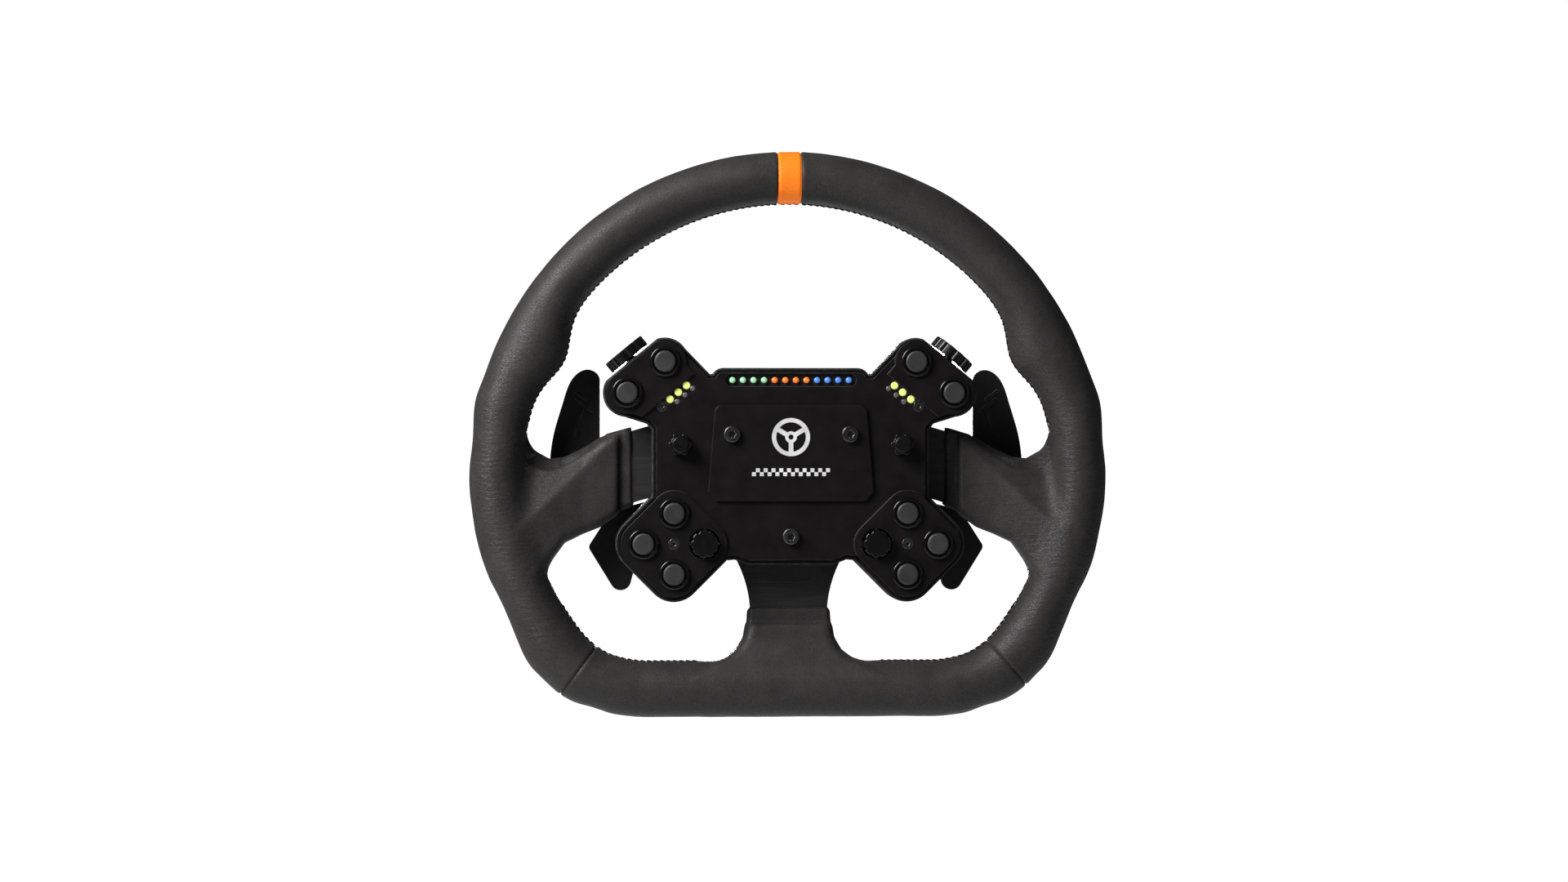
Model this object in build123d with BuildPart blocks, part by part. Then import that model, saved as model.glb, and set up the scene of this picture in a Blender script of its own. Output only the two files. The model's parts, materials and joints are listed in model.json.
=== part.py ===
from build123d import *
import os
from math import atan2, cos, degrees, exp, hypot, radians, sin, sqrt

# Sim-racing steering wheel: a leather D-shaped rim on a three-spoke frame, a button box and rear paddles.
# Units are millimetres. +X is the driver's right, +Z is up and the driver looks along +Y. The origin is the
# centre of the rear mounting face. Heights, written as f, are measured from that face towards the driver.

# ---------------------------------------------------------------- driving dimensions
# Rim: a D made of one large arc, two corner arcs and a straight bottom
RIM_RADIUS = 150.3          # centreline radius of the large arc
RIM_CORNER = 57.0           # centreline radius of the two lower corners
RIM_BOTTOM = -114.3         # height of the straight centreline
GRIP_OUT = 13.8             # grip half-width, outwards
GRIP_IN = 13.5              # grip half-width, inwards
GRIP_DEPTH = 15.8           # grip half-depth, along the wheel's axis
RIM_F = 32.0                # height of the rim's middle plane
LEATHER = 1.3               # leather thickness
GLUE = 0.2                  # gap between leather and foam
FOAM_CORE = 5.6             # depth of the hollow round the metal ring, below the leather's surface
SEAM_ANGLE = 234.0          # direction of the lower seams, seen from the corner centre
MARKER_HALF = 6.0           # half-width of the centre marker
SEAM_GAP = 0.12             # gap between two leather panels
RING_HALF = 5.0             # half-width of the metal ring inside the rim

# Bolt circle shared by the hub, the frame and the button box
PCD = 70.0
THREAD_R = 2.5
CLEARANCE_R = 2.75
HUB_BOLT_ANGLES = (30, 150, 270)
PLATE_BOLT_ANGLES = (90, 210, 330)
SPACER_R, PILOT_R = 42.0, 22.0

# Heights of the stack
SPACER_TOP = 26.0
FRAME_TOP = 30.0
FLOOR_TOP = 32.0
WALL_TOP = 48.0
FACE_TOP = 51.0
PAD_TOP = 52.5
COVER_TOP = 53.0

# Button box
LIP = 2.4                   # ledge of the rear housing round the front plate
WALL = 2.0
EDGE = 0.6                  # step round the front and back edges of the housing
UPPER_NEAR = (64.6, 54.8)   # upper pod, button nearer the middle
UPPER_FAR = (84.0, 38.8)    # upper pod, outer button
UPPER_R = 11.0              # corner radius of the upper pods
LOWER_AT = (60.0, -38.8)    # centre of the lower pod
LOWER_PITCH = 15.7          # from that centre to each control
LOWER_R = 11.8
STAR_AT = (57.0, 12.2)
UPPER_SCREW = (66.0, 32.0)
CAP_R, CAP_TRAVEL = 5.6, 1.5
BEZEL_R, BARREL_R, BORE_R = 7.9, 7.0, 6.3
BOARD_F, BOARD_T = 36.0, 1.6
SWITCH_TOP = 42.0
LED_Z, LED_PITCH, LED_COUNT = 45.3, 5.45, 12
LIGHT_BAR_HALF, LIGHT_BAR_TOP = 38.6, 49.2
STATUS_BIG = ((53.5, 42.5), (57.7, 39.0), (61.9, 35.4))
STATUS_SMALL = ((50.4, 41.0), (54.3, 37.6), (58.3, 34.2))
SIDE_KNOB_R, SIDE_KNOB_T, SIDE_KNOB_F = 11.8, 5.8, 37.5
CELL_R, CELL_LENGTH, CELL_F = 7.25, 50.5, 40.0
CELL_Z = (7.0, -7.7)

# Paddles and their casing
PIVOT_X, PIVOT_F = 62.0, 12.0
PIN_R, PIN_BORE_R = 2.0, 2.1
BLADE_F, BLADE_T = 9.0, 2.5
ARM_F = 5.5
CASE_X, CASE_BOTTOM, CASE_TOP = 72.0, -42.0, 30.0
CASE_F, COVER_T = 5.0, 2.0
CASE_SCREWS = ((50.0, 23.0), (50.0, -35.5))
SHIFTER_Z = (-6.0, 14.0)
CLUTCH_Z = (-31.0, -17.0)

SIDES = (("left", -1), ("right", 1))

# ---------------------------------------------------------------- frames and helpers
CORNER_Z = RIM_BOTTOM + RIM_CORNER
CORNER_X = sqrt((RIM_RADIUS - RIM_CORNER) ** 2 - CORNER_Z**2)
CORNER_START = 180 + degrees(atan2(-CORNER_Z, CORNER_X))

UPPER_SPAN = hypot(UPPER_FAR[0] - UPPER_NEAR[0], UPPER_FAR[1] - UPPER_NEAR[1])
UPPER_MID = ((UPPER_NEAR[0] + UPPER_FAR[0]) / 2, (UPPER_NEAR[1] + UPPER_FAR[1]) / 2)
UPPER_TURN = degrees(atan2(UPPER_FAR[1] - UPPER_NEAR[1], UPPER_FAR[0] - UPPER_NEAR[0]))
UPPER_OUT = (-sin(radians(UPPER_TURN)), cos(radians(UPPER_TURN)))

LOWER_KNOB = (LOWER_AT[0] - LOWER_PITCH, LOWER_AT[1])
LOWER_BUTTONS = (
    (LOWER_AT[0], LOWER_AT[1] + LOWER_PITCH),
    (LOWER_AT[0] + LOWER_PITCH, LOWER_AT[1]),
    (LOWER_AT[0], LOWER_AT[1] - LOWER_PITCH),
)
LOWER_ALL = LOWER_BUTTONS + (LOWER_KNOB,)
BUTTONS = {
    "upper_near": UPPER_NEAR,
    "upper_far": UPPER_FAR,
    "lower_top": LOWER_BUTTONS[0],
    "lower_far": LOWER_BUTTONS[1],
    "lower_bottom": LOWER_BUTTONS[2],
}


def at(f):
    """Sketch plane parallel to the wheel, f above the mounting face, facing the driver."""
    return Plane.XZ.offset(f)


def both_sides(points):
    """The same points on the right and on the left of the wheel."""
    return [(sign * x, z) for x, z in points for sign in (1, -1)]


def on_circle(diameter, angles):
    """Points on a circle about the wheel's axis."""
    return [(diameter / 2 * cos(radians(a)), diameter / 2 * sin(radians(a))) for a in angles]


def upper_point(side, along, outward):
    """Point of an upper pod, along its line of buttons and outwards from it."""
    x = UPPER_MID[0] + along * cos(radians(UPPER_TURN)) + outward * UPPER_OUT[0]
    z = UPPER_MID[1] + along * sin(radians(UPPER_TURN)) + outward * UPPER_OUT[1]
    return (side * x, z)


def side_knob_plane(side, outward):
    """Plane across the side knob's axis, outward from the upper pod's line of buttons."""
    x, z = upper_point(side, 0, outward)
    return Plane(origin=(x, -SIDE_KNOB_F, z), x_dir=(0, -1, 0), z_dir=(side * UPPER_OUT[0], 0, UPPER_OUT[1]))


def hump(angle, centre, width, power=2):
    """A smooth hump of height 1 over the rim's direction angle."""
    return exp(-(abs((angle - centre) / width) ** power))


def hull(rounds, side=1):
    """Face stretched round circles, each given as its centre and its radius."""
    with BuildSketch(mode=Mode.PRIVATE) as face:
        for (x, z), radius in rounds:
            with Locations((side * x, z)):
                Circle(radius)
        make_hull()
    return face.sketch


def upper_pod(side, radius):
    """Face round the two upper buttons of one side."""
    return hull([(UPPER_NEAR, radius), (UPPER_FAR, radius)], side)


def lower_pod(side, radius):
    """Face round the lower buttons and the knob of one side."""
    return hull([(point, radius) for point in LOWER_ALL], side)


# ---------------------------------------------------------------- rim
def rim_station(angle, run=0.0):
    """Point and outward direction of the left half's centreline, by direction angle from 90 to 270 degrees.

    The line is straight after 270 degrees, and run is the distance along it towards the middle.
    """
    out = Vector(cos(radians(angle)), sin(radians(angle)))
    if angle <= CORNER_START:
        return out * RIM_RADIUS, out
    return Vector(-CORNER_X + run, CORNER_Z) + out * RIM_CORNER, out


def rim_oval(angle, shrink, side=-1, run=0.0):
    """Oval face across the rim. The grip bulges at the hands, under the thumbs and at the lower corners."""
    centre, out = rim_station(angle, run)
    lower = 1.0 * hump(angle, 270, 22, 4)
    outward = GRIP_OUT + 1.5 * hump(angle, 183, 20) + 3.9 * hump(angle, 228, 17, 4)
    outward -= 0.8 * hump(angle, 204, 5)
    inward = GRIP_IN + 8.0 * hump(angle, 154.5, 7.5)
    depth = GRIP_DEPTH + 1.2 * hump(angle, 185, 40)
    middle = centre + out * ((outward - inward) / 2)
    x_dir = Vector(-side * out.X, 0, out.Y)
    origin = (-side * middle.X, -RIM_F, middle.Y)
    with BuildSketch(Plane(origin=origin, x_dir=x_dir, z_dir=x_dir.cross(Vector(0, 1, 0)))) as section:
        Ellipse((outward + inward) / 2 + lower - shrink, depth - shrink)
    return section.sketch


def rim_ovals(first, last, shrink, side=-1):
    """Ovals from one direction angle to another, closer together where the grip changes quickly."""
    stations = (90, 97.5, 105, 120, 132, 141, 147, 152, 157, 162, 168,
                177, 188, 198, 204, 211, 218, 226, 234, 246, 258)
    angles = [first] + [a for a in stations if first + 1.5 < a < last - 1.5] + [last]
    return [rim_oval(a, shrink, side) for a in angles]


def side_pad(shrink, side=-1):
    """Rounded sections of the padded root of a side spoke, from its inner end out into the rim."""
    stations = (
        # x, bottom, top, thickness, height of the middle
        (87.5, -23.8, 18.6, 13.0, 28.0),
        (98.0, -31.0, 16.0, 14.0, 28.6),
        (107.0, -34.4, 10.5, 15.0, 29.3),
        (116.0, -38.8, 6.0, 17.5, 30.3),
        (124.0, -50.0, 5.0, 20.0, 31.2),
        (132.0, -62.0, 9.5, 23.0, 31.8),
        (140.0, -68.0, 18.0, 25.0, 32.0),
    )
    sections = []
    for x, bottom, top, thick, middle in stations:
        start = max(x, stations[0][0] + shrink)
        plane = Plane(origin=(side * start, -middle, (bottom + top) / 2), x_dir=(0, 0, 1), z_dir=(1, 0, 0))
        with BuildSketch(plane) as section:
            RectangleRounded(top - bottom - 2 * shrink, thick - 2 * shrink, 0.42 * thick - shrink)
        sections.append(section.sketch)
    return sections


def bottom_pad(shrink):
    """Rounded sections of the padded root of the bottom spoke, from its upper end down into the rim."""
    stations = (
        # z, width, thickness, height of the middle
        (-80.6, 45.0, 12.5, 28.0),
        (-88.0, 48.0, 14.0, 28.6),
        (-94.0, 55.0, 16.5, 29.8),
        (-98.0, 65.0, 19.0, 30.8),
        (-102.0, 82.0, 22.5, 31.6),
        (-108.0, 104.0, 26.0, 32.0),
    )
    sections = []
    for z, width, thick, middle in stations:
        start = min(z, stations[0][0] - shrink)
        with BuildSketch(Plane(origin=(0, -middle, start), x_dir=(1, 0, 0), z_dir=(0, 0, 1))) as section:
            RectangleRounded(width - 2 * shrink, thick - 2 * shrink, 0.42 * thick - shrink)
        sections.append(section.sketch)
    return sections


def d_face(grow):
    """Face inside the rim's centreline moved outwards by grow."""
    radius, corner, bottom = RIM_RADIUS + grow, RIM_CORNER + grow, RIM_BOTTOM - grow
    with BuildSketch(mode=Mode.PRIVATE) as face:
        with BuildLine():
            CenterArc((0, 0), radius, 180 - CORNER_START, 2 * CORNER_START - 180)
            CenterArc((-CORNER_X, CORNER_Z), corner, CORNER_START, 270 - CORNER_START)
            CenterArc((CORNER_X, CORNER_Z), corner, 270, 270 - CORNER_START)
            Line((-CORNER_X, bottom), (CORNER_X, bottom))
        make_face()
    return face.sketch


with BuildPart() as spoke_frame:
    with BuildSketch(at(SPACER_TOP)):
        add(d_face(RING_HALF))
        add(d_face(-RING_HALF), mode=Mode.SUBTRACT)
        with Locations((0, -7)):
            RectangleRounded(124, 76, 14)
        with BuildLine():
            side_top = Spline((0, 34), (70, 22.4), (88, 16.6), (106, 7.0), (124, 1.5), (148, 10))
            Line(side_top @ 1, (140, -62))
            side_low = Spline((140, -62), (122, -40), (106, -29.5), (90, -21.4), (70, -15), (0, -20))
            Line(side_low @ 1, (0, 34))
        spoke = make_face()
        mirror(spoke, about=Plane.YZ)
        with BuildLine():
            foot = Spline((40, -30), (26, -50), (20.2, -71), (20.2, -81), (22.8, -92), (32, -100), (58, -112))
            Line(foot @ 1, (0, -112))
            Line((0, -112), (0, -30))
            Line((0, -30), (40, -30))
        leg = make_face()
        mirror(leg, about=Plane.YZ)
    extrude(amount=FRAME_TOP - SPACER_TOP)
    with BuildSketch(at(SPACER_TOP)):
        Circle(24)
        with Locations(*on_circle(PCD, HUB_BOLT_ANGLES + PLATE_BOLT_ANGLES)):
            Circle(CLEARANCE_R)
        with Locations(*both_sides(CASE_SCREWS)):
            Circle(1.52)
    extrude(amount=FRAME_TOP - SPACER_TOP, mode=Mode.SUBTRACT)
    with Locations(*[(x, -FRAME_TOP, z) for x, z in on_circle(PCD, PLATE_BOLT_ANGLES)]):
        Cone(CLEARANCE_R, 5.2, 2.4, rotation=(90, 0, 0), align=(Align.CENTER, Align.CENTER, Align.MAX),
             mode=Mode.SUBTRACT)
    chamfer(spoke_frame.faces().filter_by(Axis.Y).sort_by(Axis.Y)[0].outer_wire().edges(), 0.4)

os.makedirs("parts", exist_ok=True)

spoke_frame.part.label = "spoke_frame"
export_step(spoke_frame.part, "parts/spoke_frame.step")

# Foam moulded round the ring and the roots of the spokes, in a left, a right and a bottom length
MARKER_TURN = degrees(MARKER_HALF / RIM_RADIUS)
MARKER_GAP = degrees(SEAM_GAP / RIM_RADIUS)
SEAM_TURN = degrees(SEAM_GAP / RIM_CORNER)
SIDE_FLAP = ((81.5, 21.5), (95, 17.5), (95, -25), (80.3, -19.8))
BOTTOM_FLAP = ((-21.5, -72), (21.5, -72), (22.5, -86), (-22.5, -86))
FOAM_IN = LEATHER + GLUE

foam_sides = []
for tag, side in SIDES:
    with BuildPart() as foam_side:
        loft(sections=rim_ovals(90 + MARKER_GAP, SEAM_ANGLE, FOAM_IN, side))
        loft(sections=side_pad(FOAM_IN, side))
        loft(sections=rim_ovals(89, SEAM_ANGLE + 1, FOAM_CORE, side), mode=Mode.SUBTRACT)
        add(spoke_frame.part, mode=Mode.SUBTRACT)
    foam_sides.append(foam_side.part)

with BuildPart() as foam_bottom:
    for tag, side in SIDES:
        loft(sections=rim_ovals(SEAM_ANGLE + SEAM_TURN, 270, FOAM_IN, side))
    extrude(rim_oval(270, FOAM_IN), amount=2 * CORNER_X)
    loft(sections=bottom_pad(FOAM_IN))
    for tag, side in SIDES:
        loft(sections=rim_ovals(SEAM_ANGLE - 1, 270, FOAM_CORE, side), mode=Mode.SUBTRACT)
    extrude(rim_oval(270, FOAM_CORE), amount=2 * CORNER_X, mode=Mode.SUBTRACT)
    add(spoke_frame.part, mode=Mode.SUBTRACT)

with BuildPart() as rim_foam:
    add(foam_sides)
    add(foam_bottom.part)
rim_foam.part.label = "rim_foam"
export_step(rim_foam.part, "parts/rim_foam.step")

# Leather: a panel for each side and one along the bottom, each with a flap on the metal of its spoke
for tag, side in SIDES:
    with BuildPart() as leather:
        first = 90 + MARKER_TURN + MARKER_GAP
        loft(sections=rim_ovals(first, SEAM_ANGLE, 0, side))
        loft(sections=side_pad(0, side))
        with BuildSketch(at(SPACER_TOP - LEATHER)):
            Polygon(*[(side * x, z) for x, z in SIDE_FLAP], align=None)
        extrude(amount=FRAME_TOP - SPACER_TOP + 2 * LEATHER)
        loft(sections=rim_ovals(first - 1, SEAM_ANGLE + 1, LEATHER, side), mode=Mode.SUBTRACT)
        loft(sections=side_pad(LEATHER, side), mode=Mode.SUBTRACT)
        add(spoke_frame.part, mode=Mode.SUBTRACT)
    leather.part.label = f"leather_{tag}"
    export_step(leather.part, f"parts/leather_{tag}.step")

with BuildPart() as leather_bottom:
    for tag, side in SIDES:
        loft(sections=rim_ovals(SEAM_ANGLE + SEAM_TURN, 270, 0, side))
    extrude(rim_oval(270, 0), amount=2 * CORNER_X)
    loft(sections=bottom_pad(0))
    with BuildSketch(at(SPACER_TOP - LEATHER)):
        Polygon(*BOTTOM_FLAP, align=None)
    extrude(amount=FRAME_TOP - SPACER_TOP + 2 * LEATHER)
    for tag, side in SIDES:
        loft(sections=rim_ovals(SEAM_ANGLE - 1, 270, LEATHER, side), mode=Mode.SUBTRACT)
    extrude(rim_oval(270, LEATHER), amount=2 * CORNER_X, mode=Mode.SUBTRACT)
    loft(sections=bottom_pad(LEATHER), mode=Mode.SUBTRACT)
    add(spoke_frame.part, mode=Mode.SUBTRACT)
leather_bottom.part.label = "leather_bottom"
export_step(leather_bottom.part, "parts/leather_bottom.step")

with BuildPart() as centre_marker:
    for tag, side in SIDES:
        loft(sections=[rim_oval(90 + MARKER_TURN, 0, side), rim_oval(90, 0, side)])
    for tag, side in SIDES:
        beyond = rim_oval(92.5 + MARKER_TURN, LEATHER, side)
        loft(sections=[beyond, rim_oval(90, LEATHER, side)], mode=Mode.SUBTRACT)
centre_marker.part.label = "centre_marker"
export_step(centre_marker.part, "parts/centre_marker.step")


# ---------------------------------------------------------------- button box
def box_face(grow, upper_r, lower_r, flat=None):
    """Outline of the button box: a body moved outwards by grow, two upper pods and two lower pods.

    flat cuts the upper pods straight, at that distance outside their line of buttons.
    """
    half = (
        (42.5, 46), (57.5, 61.5), (78, 40), (84, 28.6), (72.5, 25), (69, 20.5),
        (69, -32), (50, -40), (32, -45), (28.5, -44.6), (21.5, -47.3),
    )
    with BuildSketch(mode=Mode.PRIVATE) as face:
        with BuildLine():
            Polyline(*half, *[(-x, z) for x, z in reversed(half)], close=True)
        make_face()
        if grow:
            offset(amount=grow, mode=Mode.REPLACE)
        with Locations((0, LIGHT_BAR_TOP - 10)):
            RectangleRounded(2 * (LIGHT_BAR_HALF + grow), 20 + 2 * grow, 4 + grow)
        for tag, side in SIDES:
            add(upper_pod(side, upper_r))
            add(lower_pod(side, lower_r))
            if flat:
                with Locations(Location((*upper_point(side, 0, flat + 10), 0), (0, 0, side * UPPER_TURN))):
                    Rectangle(60, 20, mode=Mode.SUBTRACT)
    return face.sketch


FACE = box_face(0, UPPER_R, LOWER_R)
SHELL = box_face(LIP, UPPER_R + 1.4, LOWER_R + 2.5, 11.6)
SHELL_EDGE = box_face(LIP - EDGE, UPPER_R + 0.8, LOWER_R + 1.9, 11.0)
CAVITY = box_face(LIP - WALL, UPPER_R - 0.6, LOWER_R + 0.5, 11.6 - WALL)
ALL_BUTTONS = both_sides(BUTTONS.values())
PLATE_SCREWS = (UPPER_SCREW, LOWER_AT)
UPPER_BOARD = ((UPPER_NEAR, 8.5), (UPPER_FAR, 8.5), (UPPER_SCREW, 5.5), ((52.5, 41.0), 4.5))
SPACER_SCREW_POINTS = on_circle(PCD, PLATE_BOLT_ANGLES)
HUB_BOLT_POINTS = on_circle(PCD, HUB_BOLT_ANGLES)

with BuildPart() as front_plate:
    with BuildSketch(at(WALL_TOP)):
        add(FACE)
    extrude(amount=FACE_TOP - WALL_TOP)
    with BuildSketch(at(FACE_TOP)):
        for tag, side in SIDES:
            with Locations(Location((*upper_point(side, 0, -3.5), 0), (0, 0, side * UPPER_TURN))):
                Rectangle(40, 22)
            add(upper_pod(side, UPPER_R))
            add(lower_pod(side, LOWER_R))
        add(FACE, mode=Mode.INTERSECT)
    extrude(amount=PAD_TOP - FACE_TOP)
    fillet(front_plate.faces().filter_by(Axis.Y).group_by(Axis.Y)[0].edges(), 0.5)
    with BuildSketch(at(WALL_TOP)):
        with Locations(*ALL_BUTTONS):
            Circle(BARREL_R + 0.05)
        with Locations(*both_sides([LOWER_KNOB])):
            Circle(8.1)
        with Locations(*both_sides([STAR_AT])):
            Circle(3.15)
        with Locations((0, LED_Z)):
            SlotOverall(67.5, 6.6)
        with Locations(*both_sides(STATUS_BIG)):
            Circle(2.0)
        with Locations(*both_sides(STATUS_SMALL)):
            Circle(1.4)
        with Locations(*both_sides(PLATE_SCREWS)):
            Circle(1.6)
        with Locations(*HUB_BOLT_POINTS):
            Circle(CLEARANCE_R)
        with Locations((0, (CELL_Z[0] + CELL_Z[1]) / 2)):
            RectangleRounded(51.4, 29.8, 2)
    extrude(amount=PAD_TOP - WALL_TOP, mode=Mode.SUBTRACT)
    with BuildSketch(at(FACE_TOP - 1.3)):
        with Locations(*both_sides([UPPER_SCREW])):
            Circle(2.85)
    extrude(amount=3, mode=Mode.SUBTRACT)
    with BuildSketch(at(PAD_TOP - 1.3)):
        with Locations(*both_sides([LOWER_AT])):
            Circle(2.85)
    extrude(amount=3, mode=Mode.SUBTRACT)
front_plate.part.label = "front_plate"
export_step(front_plate.part, "parts/front_plate.step")

with BuildPart() as rear_housing:
    with BuildSketch(at(FRAME_TOP + EDGE)):
        add(SHELL)
    extrude(amount=WALL_TOP - FRAME_TOP - 2 * EDGE)
    with BuildSketch(at(FRAME_TOP)):
        add(SHELL_EDGE)
    extrude(amount=WALL_TOP - FRAME_TOP)
    with BuildSketch(at(FLOOR_TOP)):
        add(CAVITY)
    extrude(amount=WALL_TOP - FLOOR_TOP, mode=Mode.SUBTRACT)
    # Bosses: tall ones for bolts and screws, stepped ones that also carry the boards
    with BuildSketch(at(FLOOR_TOP)):
        with Locations(*HUB_BOLT_POINTS):
            Circle(5)
        with Locations(*both_sides(PLATE_SCREWS)):
            Circle(3.1)
    extrude(amount=WALL_TOP - FLOOR_TOP)
    with BuildSketch(at(FLOOR_TOP)):
        with Locations(*both_sides(PLATE_SCREWS)):
            Circle(4.6)
        with Locations(*both_sides([UPPER_FAR, UPPER_NEAR] + [LOWER_KNOB, LOWER_BUTTONS[1]])):
            Circle(2.5)
    extrude(amount=BOARD_F - FLOOR_TOP)
    with BuildSketch(at(FLOOR_TOP)):
        with Locations(*both_sides([(36, 36)])):
            Circle(2.5)
    extrude(amount=39.2 - FLOOR_TOP)
    # Cradles for the cells
    with BuildSketch(at(FLOOR_TOP)):
        with Locations((-17, (CELL_Z[0] + CELL_Z[1]) / 2), (17, (CELL_Z[0] + CELL_Z[1]) / 2)):
            Rectangle(4, 29)
    extrude(amount=4)
    with Locations(*[(0, -CELL_F, z) for z in CELL_Z]):
        Cylinder(CELL_R + 0.02, 60, rotation=(0, 90, 0), mode=Mode.SUBTRACT)
    with BuildSketch(at(FRAME_TOP)):
        with Locations(*HUB_BOLT_POINTS):
            Circle(CLEARANCE_R)
        Circle(12)
    extrude(amount=WALL_TOP - FRAME_TOP, mode=Mode.SUBTRACT)
    with BuildSketch(at(FRAME_TOP)):
        with Locations(*SPACER_SCREW_POINTS):
            Circle(5.4)
    extrude(amount=FLOOR_TOP - FRAME_TOP, mode=Mode.SUBTRACT)
    with BuildSketch(at(BOARD_F)):
        with Locations(*both_sides(PLATE_SCREWS)):
            Circle(1.3)
    extrude(amount=WALL_TOP - BOARD_F, mode=Mode.SUBTRACT)
    for tag, side in SIDES:
        with BuildSketch(side_knob_plane(side, 9)):
            Circle(3.45)
        extrude(amount=4, mode=Mode.SUBTRACT)
rear_housing.part.label = "rear_housing"
export_step(rear_housing.part, "parts/rear_housing.step")

with BuildPart() as centre_cover:
    with BuildSketch(at(FACE_TOP)) as cover_face:
        Polygon((-39, 32.5), (39, 32.5), (42.7, -12), (38.6, -17), (-38.6, -17), (-42.7, -12), align=None)
        fillet(cover_face.vertices().group_by(Axis.Y)[-1], 4)
    extrude(amount=COVER_TOP - FACE_TOP)
    fillet(centre_cover.faces().filter_by(Axis.Y).sort_by(Axis.Y)[0].edges(), 0.6)
    with BuildSketch(at(FACE_TOP)):
        with Locations(*HUB_BOLT_POINTS[:2]):
            Circle(CLEARANCE_R)
    extrude(amount=COVER_TOP - FACE_TOP, mode=Mode.SUBTRACT)
centre_cover.part.label = "centre_cover"
export_step(centre_cover.part, "parts/centre_cover.step")

# Printed badge: a wheel pictogram over a chequered strip
with BuildPart() as badge:
    with BuildSketch(at(COVER_TOP)):
        with Locations((0, 16)):
            Circle(9.8)
            Circle(7.6, mode=Mode.SUBTRACT)
            with PolarLocations(4.6, 3, start_angle=30):
                Rectangle(8, 2.4)
            Circle(3)
            Circle(1.3, mode=Mode.SUBTRACT)
        with Locations((1.0, -1.0)):
            with GridLocations(4, 1, 10, 1):
                Rectangle(2.02, 2.02)
        with Locations((-1.0, -3.0)):
            with GridLocations(4, 1, 10, 1):
                Rectangle(2.02, 2.02)
    extrude(amount=0.3)
badge.part.label = "badge"
export_step(badge.part, "parts/badge.step")

with BuildPart() as hub_bolts:
    for (x, z), seat in zip(HUB_BOLT_POINTS, (COVER_TOP, COVER_TOP, FACE_TOP)):
        with BuildSketch(at(seat - 40)):
            with Locations((x, z)):
                Circle(THREAD_R)
        extrude(amount=40)
        with BuildSketch(at(seat)):
            with Locations((x, z)):
                Circle(4.3)
        extrude(amount=2.75)
    tops = hub_bolts.faces().filter_by(Axis.Y).sort_by(Axis.Y)
    fillet([edge for face in tops[:3] for edge in face.edges()], 0.8)
    for (x, z), seat in zip(HUB_BOLT_POINTS, (COVER_TOP, COVER_TOP, FACE_TOP)):
        with BuildSketch(at(seat + 0.6)):
            with Locations((x, z)):
                Circle(1.75)
                with PolarLocations(1.75, 6):
                    Circle(0.45)
        extrude(amount=3, mode=Mode.SUBTRACT)
hub_bolts.part.label = "hub_bolts"
export_step(hub_bolts.part, "parts/hub_bolts.step")

with BuildPart() as plate_screws:
    for point, seat in zip(PLATE_SCREWS, (FACE_TOP - 1.3, PAD_TOP - 1.3)):
        with BuildSketch(at(seat - 11)):
            with Locations(*both_sides([point])):
                Circle(1.28)
        extrude(amount=11)
        with BuildSketch(at(seat)):
            with Locations(*both_sides([point])):
                Circle(2.75)
                Circle(1.05, mode=Mode.SUBTRACT)
        extrude(amount=1.5)
        with BuildSketch(at(seat)):
            with Locations(*both_sides([point])):
                Circle(1.28)
        extrude(amount=0.3)
plate_screws.part.label = "plate_screws"
export_step(plate_screws.part, "parts/plate_screws.step")

# Shift lights under the slot, in three colours, on a strip glued behind the plate
LED_X = [(k - (LED_COUNT - 1) / 2) * LED_PITCH for k in range(LED_COUNT)]
with BuildPart() as led_strip:
    with BuildSketch(at(WALL_TOP - 1.6)):
        with Locations((0, LED_Z - 0.5)):
            Rectangle(71, 7.6)
    extrude(amount=1.6)
led_strip.part.label = "led_strip"
export_step(led_strip.part, "parts/led_strip.step")

for colour, first in (("green", 0), ("orange", 4), ("blue", 8)):
    with BuildPart() as shift_leds:
        with BuildSketch(at(WALL_TOP)):
            with Locations(*[(x, LED_Z) for x in LED_X[first:first + 4]]):
                Circle(1.6)
        extrude(amount=2.4)
        fillet(shift_leds.faces().filter_by(Axis.Y).group_by(Axis.Y)[0].edges(), 1.1)
    shift_leds.part.label = f"shift_leds_{colour}"
    export_step(shift_leds.part, f"parts/shift_leds_{colour}.step")

for name, points, radius in (("yellow", STATUS_BIG, 1.95), ("clear", STATUS_SMALL, 1.35)):
    with BuildPart() as status_leds:
        with BuildSketch(at(BOARD_F + BOARD_T)):
            with Locations(*both_sides(points)):
                Circle(radius)
        extrude(amount=FACE_TOP + 0.5 - BOARD_F - BOARD_T)
        fillet(status_leds.faces().filter_by(Axis.Y).group_by(Axis.Y)[0].edges(), 0.6)
    status_leds.part.label = f"status_leds_{name}"
    export_step(status_leds.part, f"parts/status_leds_{name}.step")

# Boards and switches under the pods
with BuildPart() as pod_boards:
    with BuildSketch(at(BOARD_F)):
        for tag, side in SIDES:
            add(hull(UPPER_BOARD, side))
            with Locations(Location((*upper_point(side, 0, 9), 0), (0, 0, side * UPPER_TURN))):
                Rectangle(12, 13.2, mode=Mode.SUBTRACT)
            add(lower_pod(side, 9))
        with Locations(*both_sides(PLATE_SCREWS)):
            Circle(3.3, mode=Mode.SUBTRACT)
    extrude(amount=BOARD_T)
pod_boards.part.label = "pod_boards"
export_step(pod_boards.part, "parts/pod_boards.step")

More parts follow.
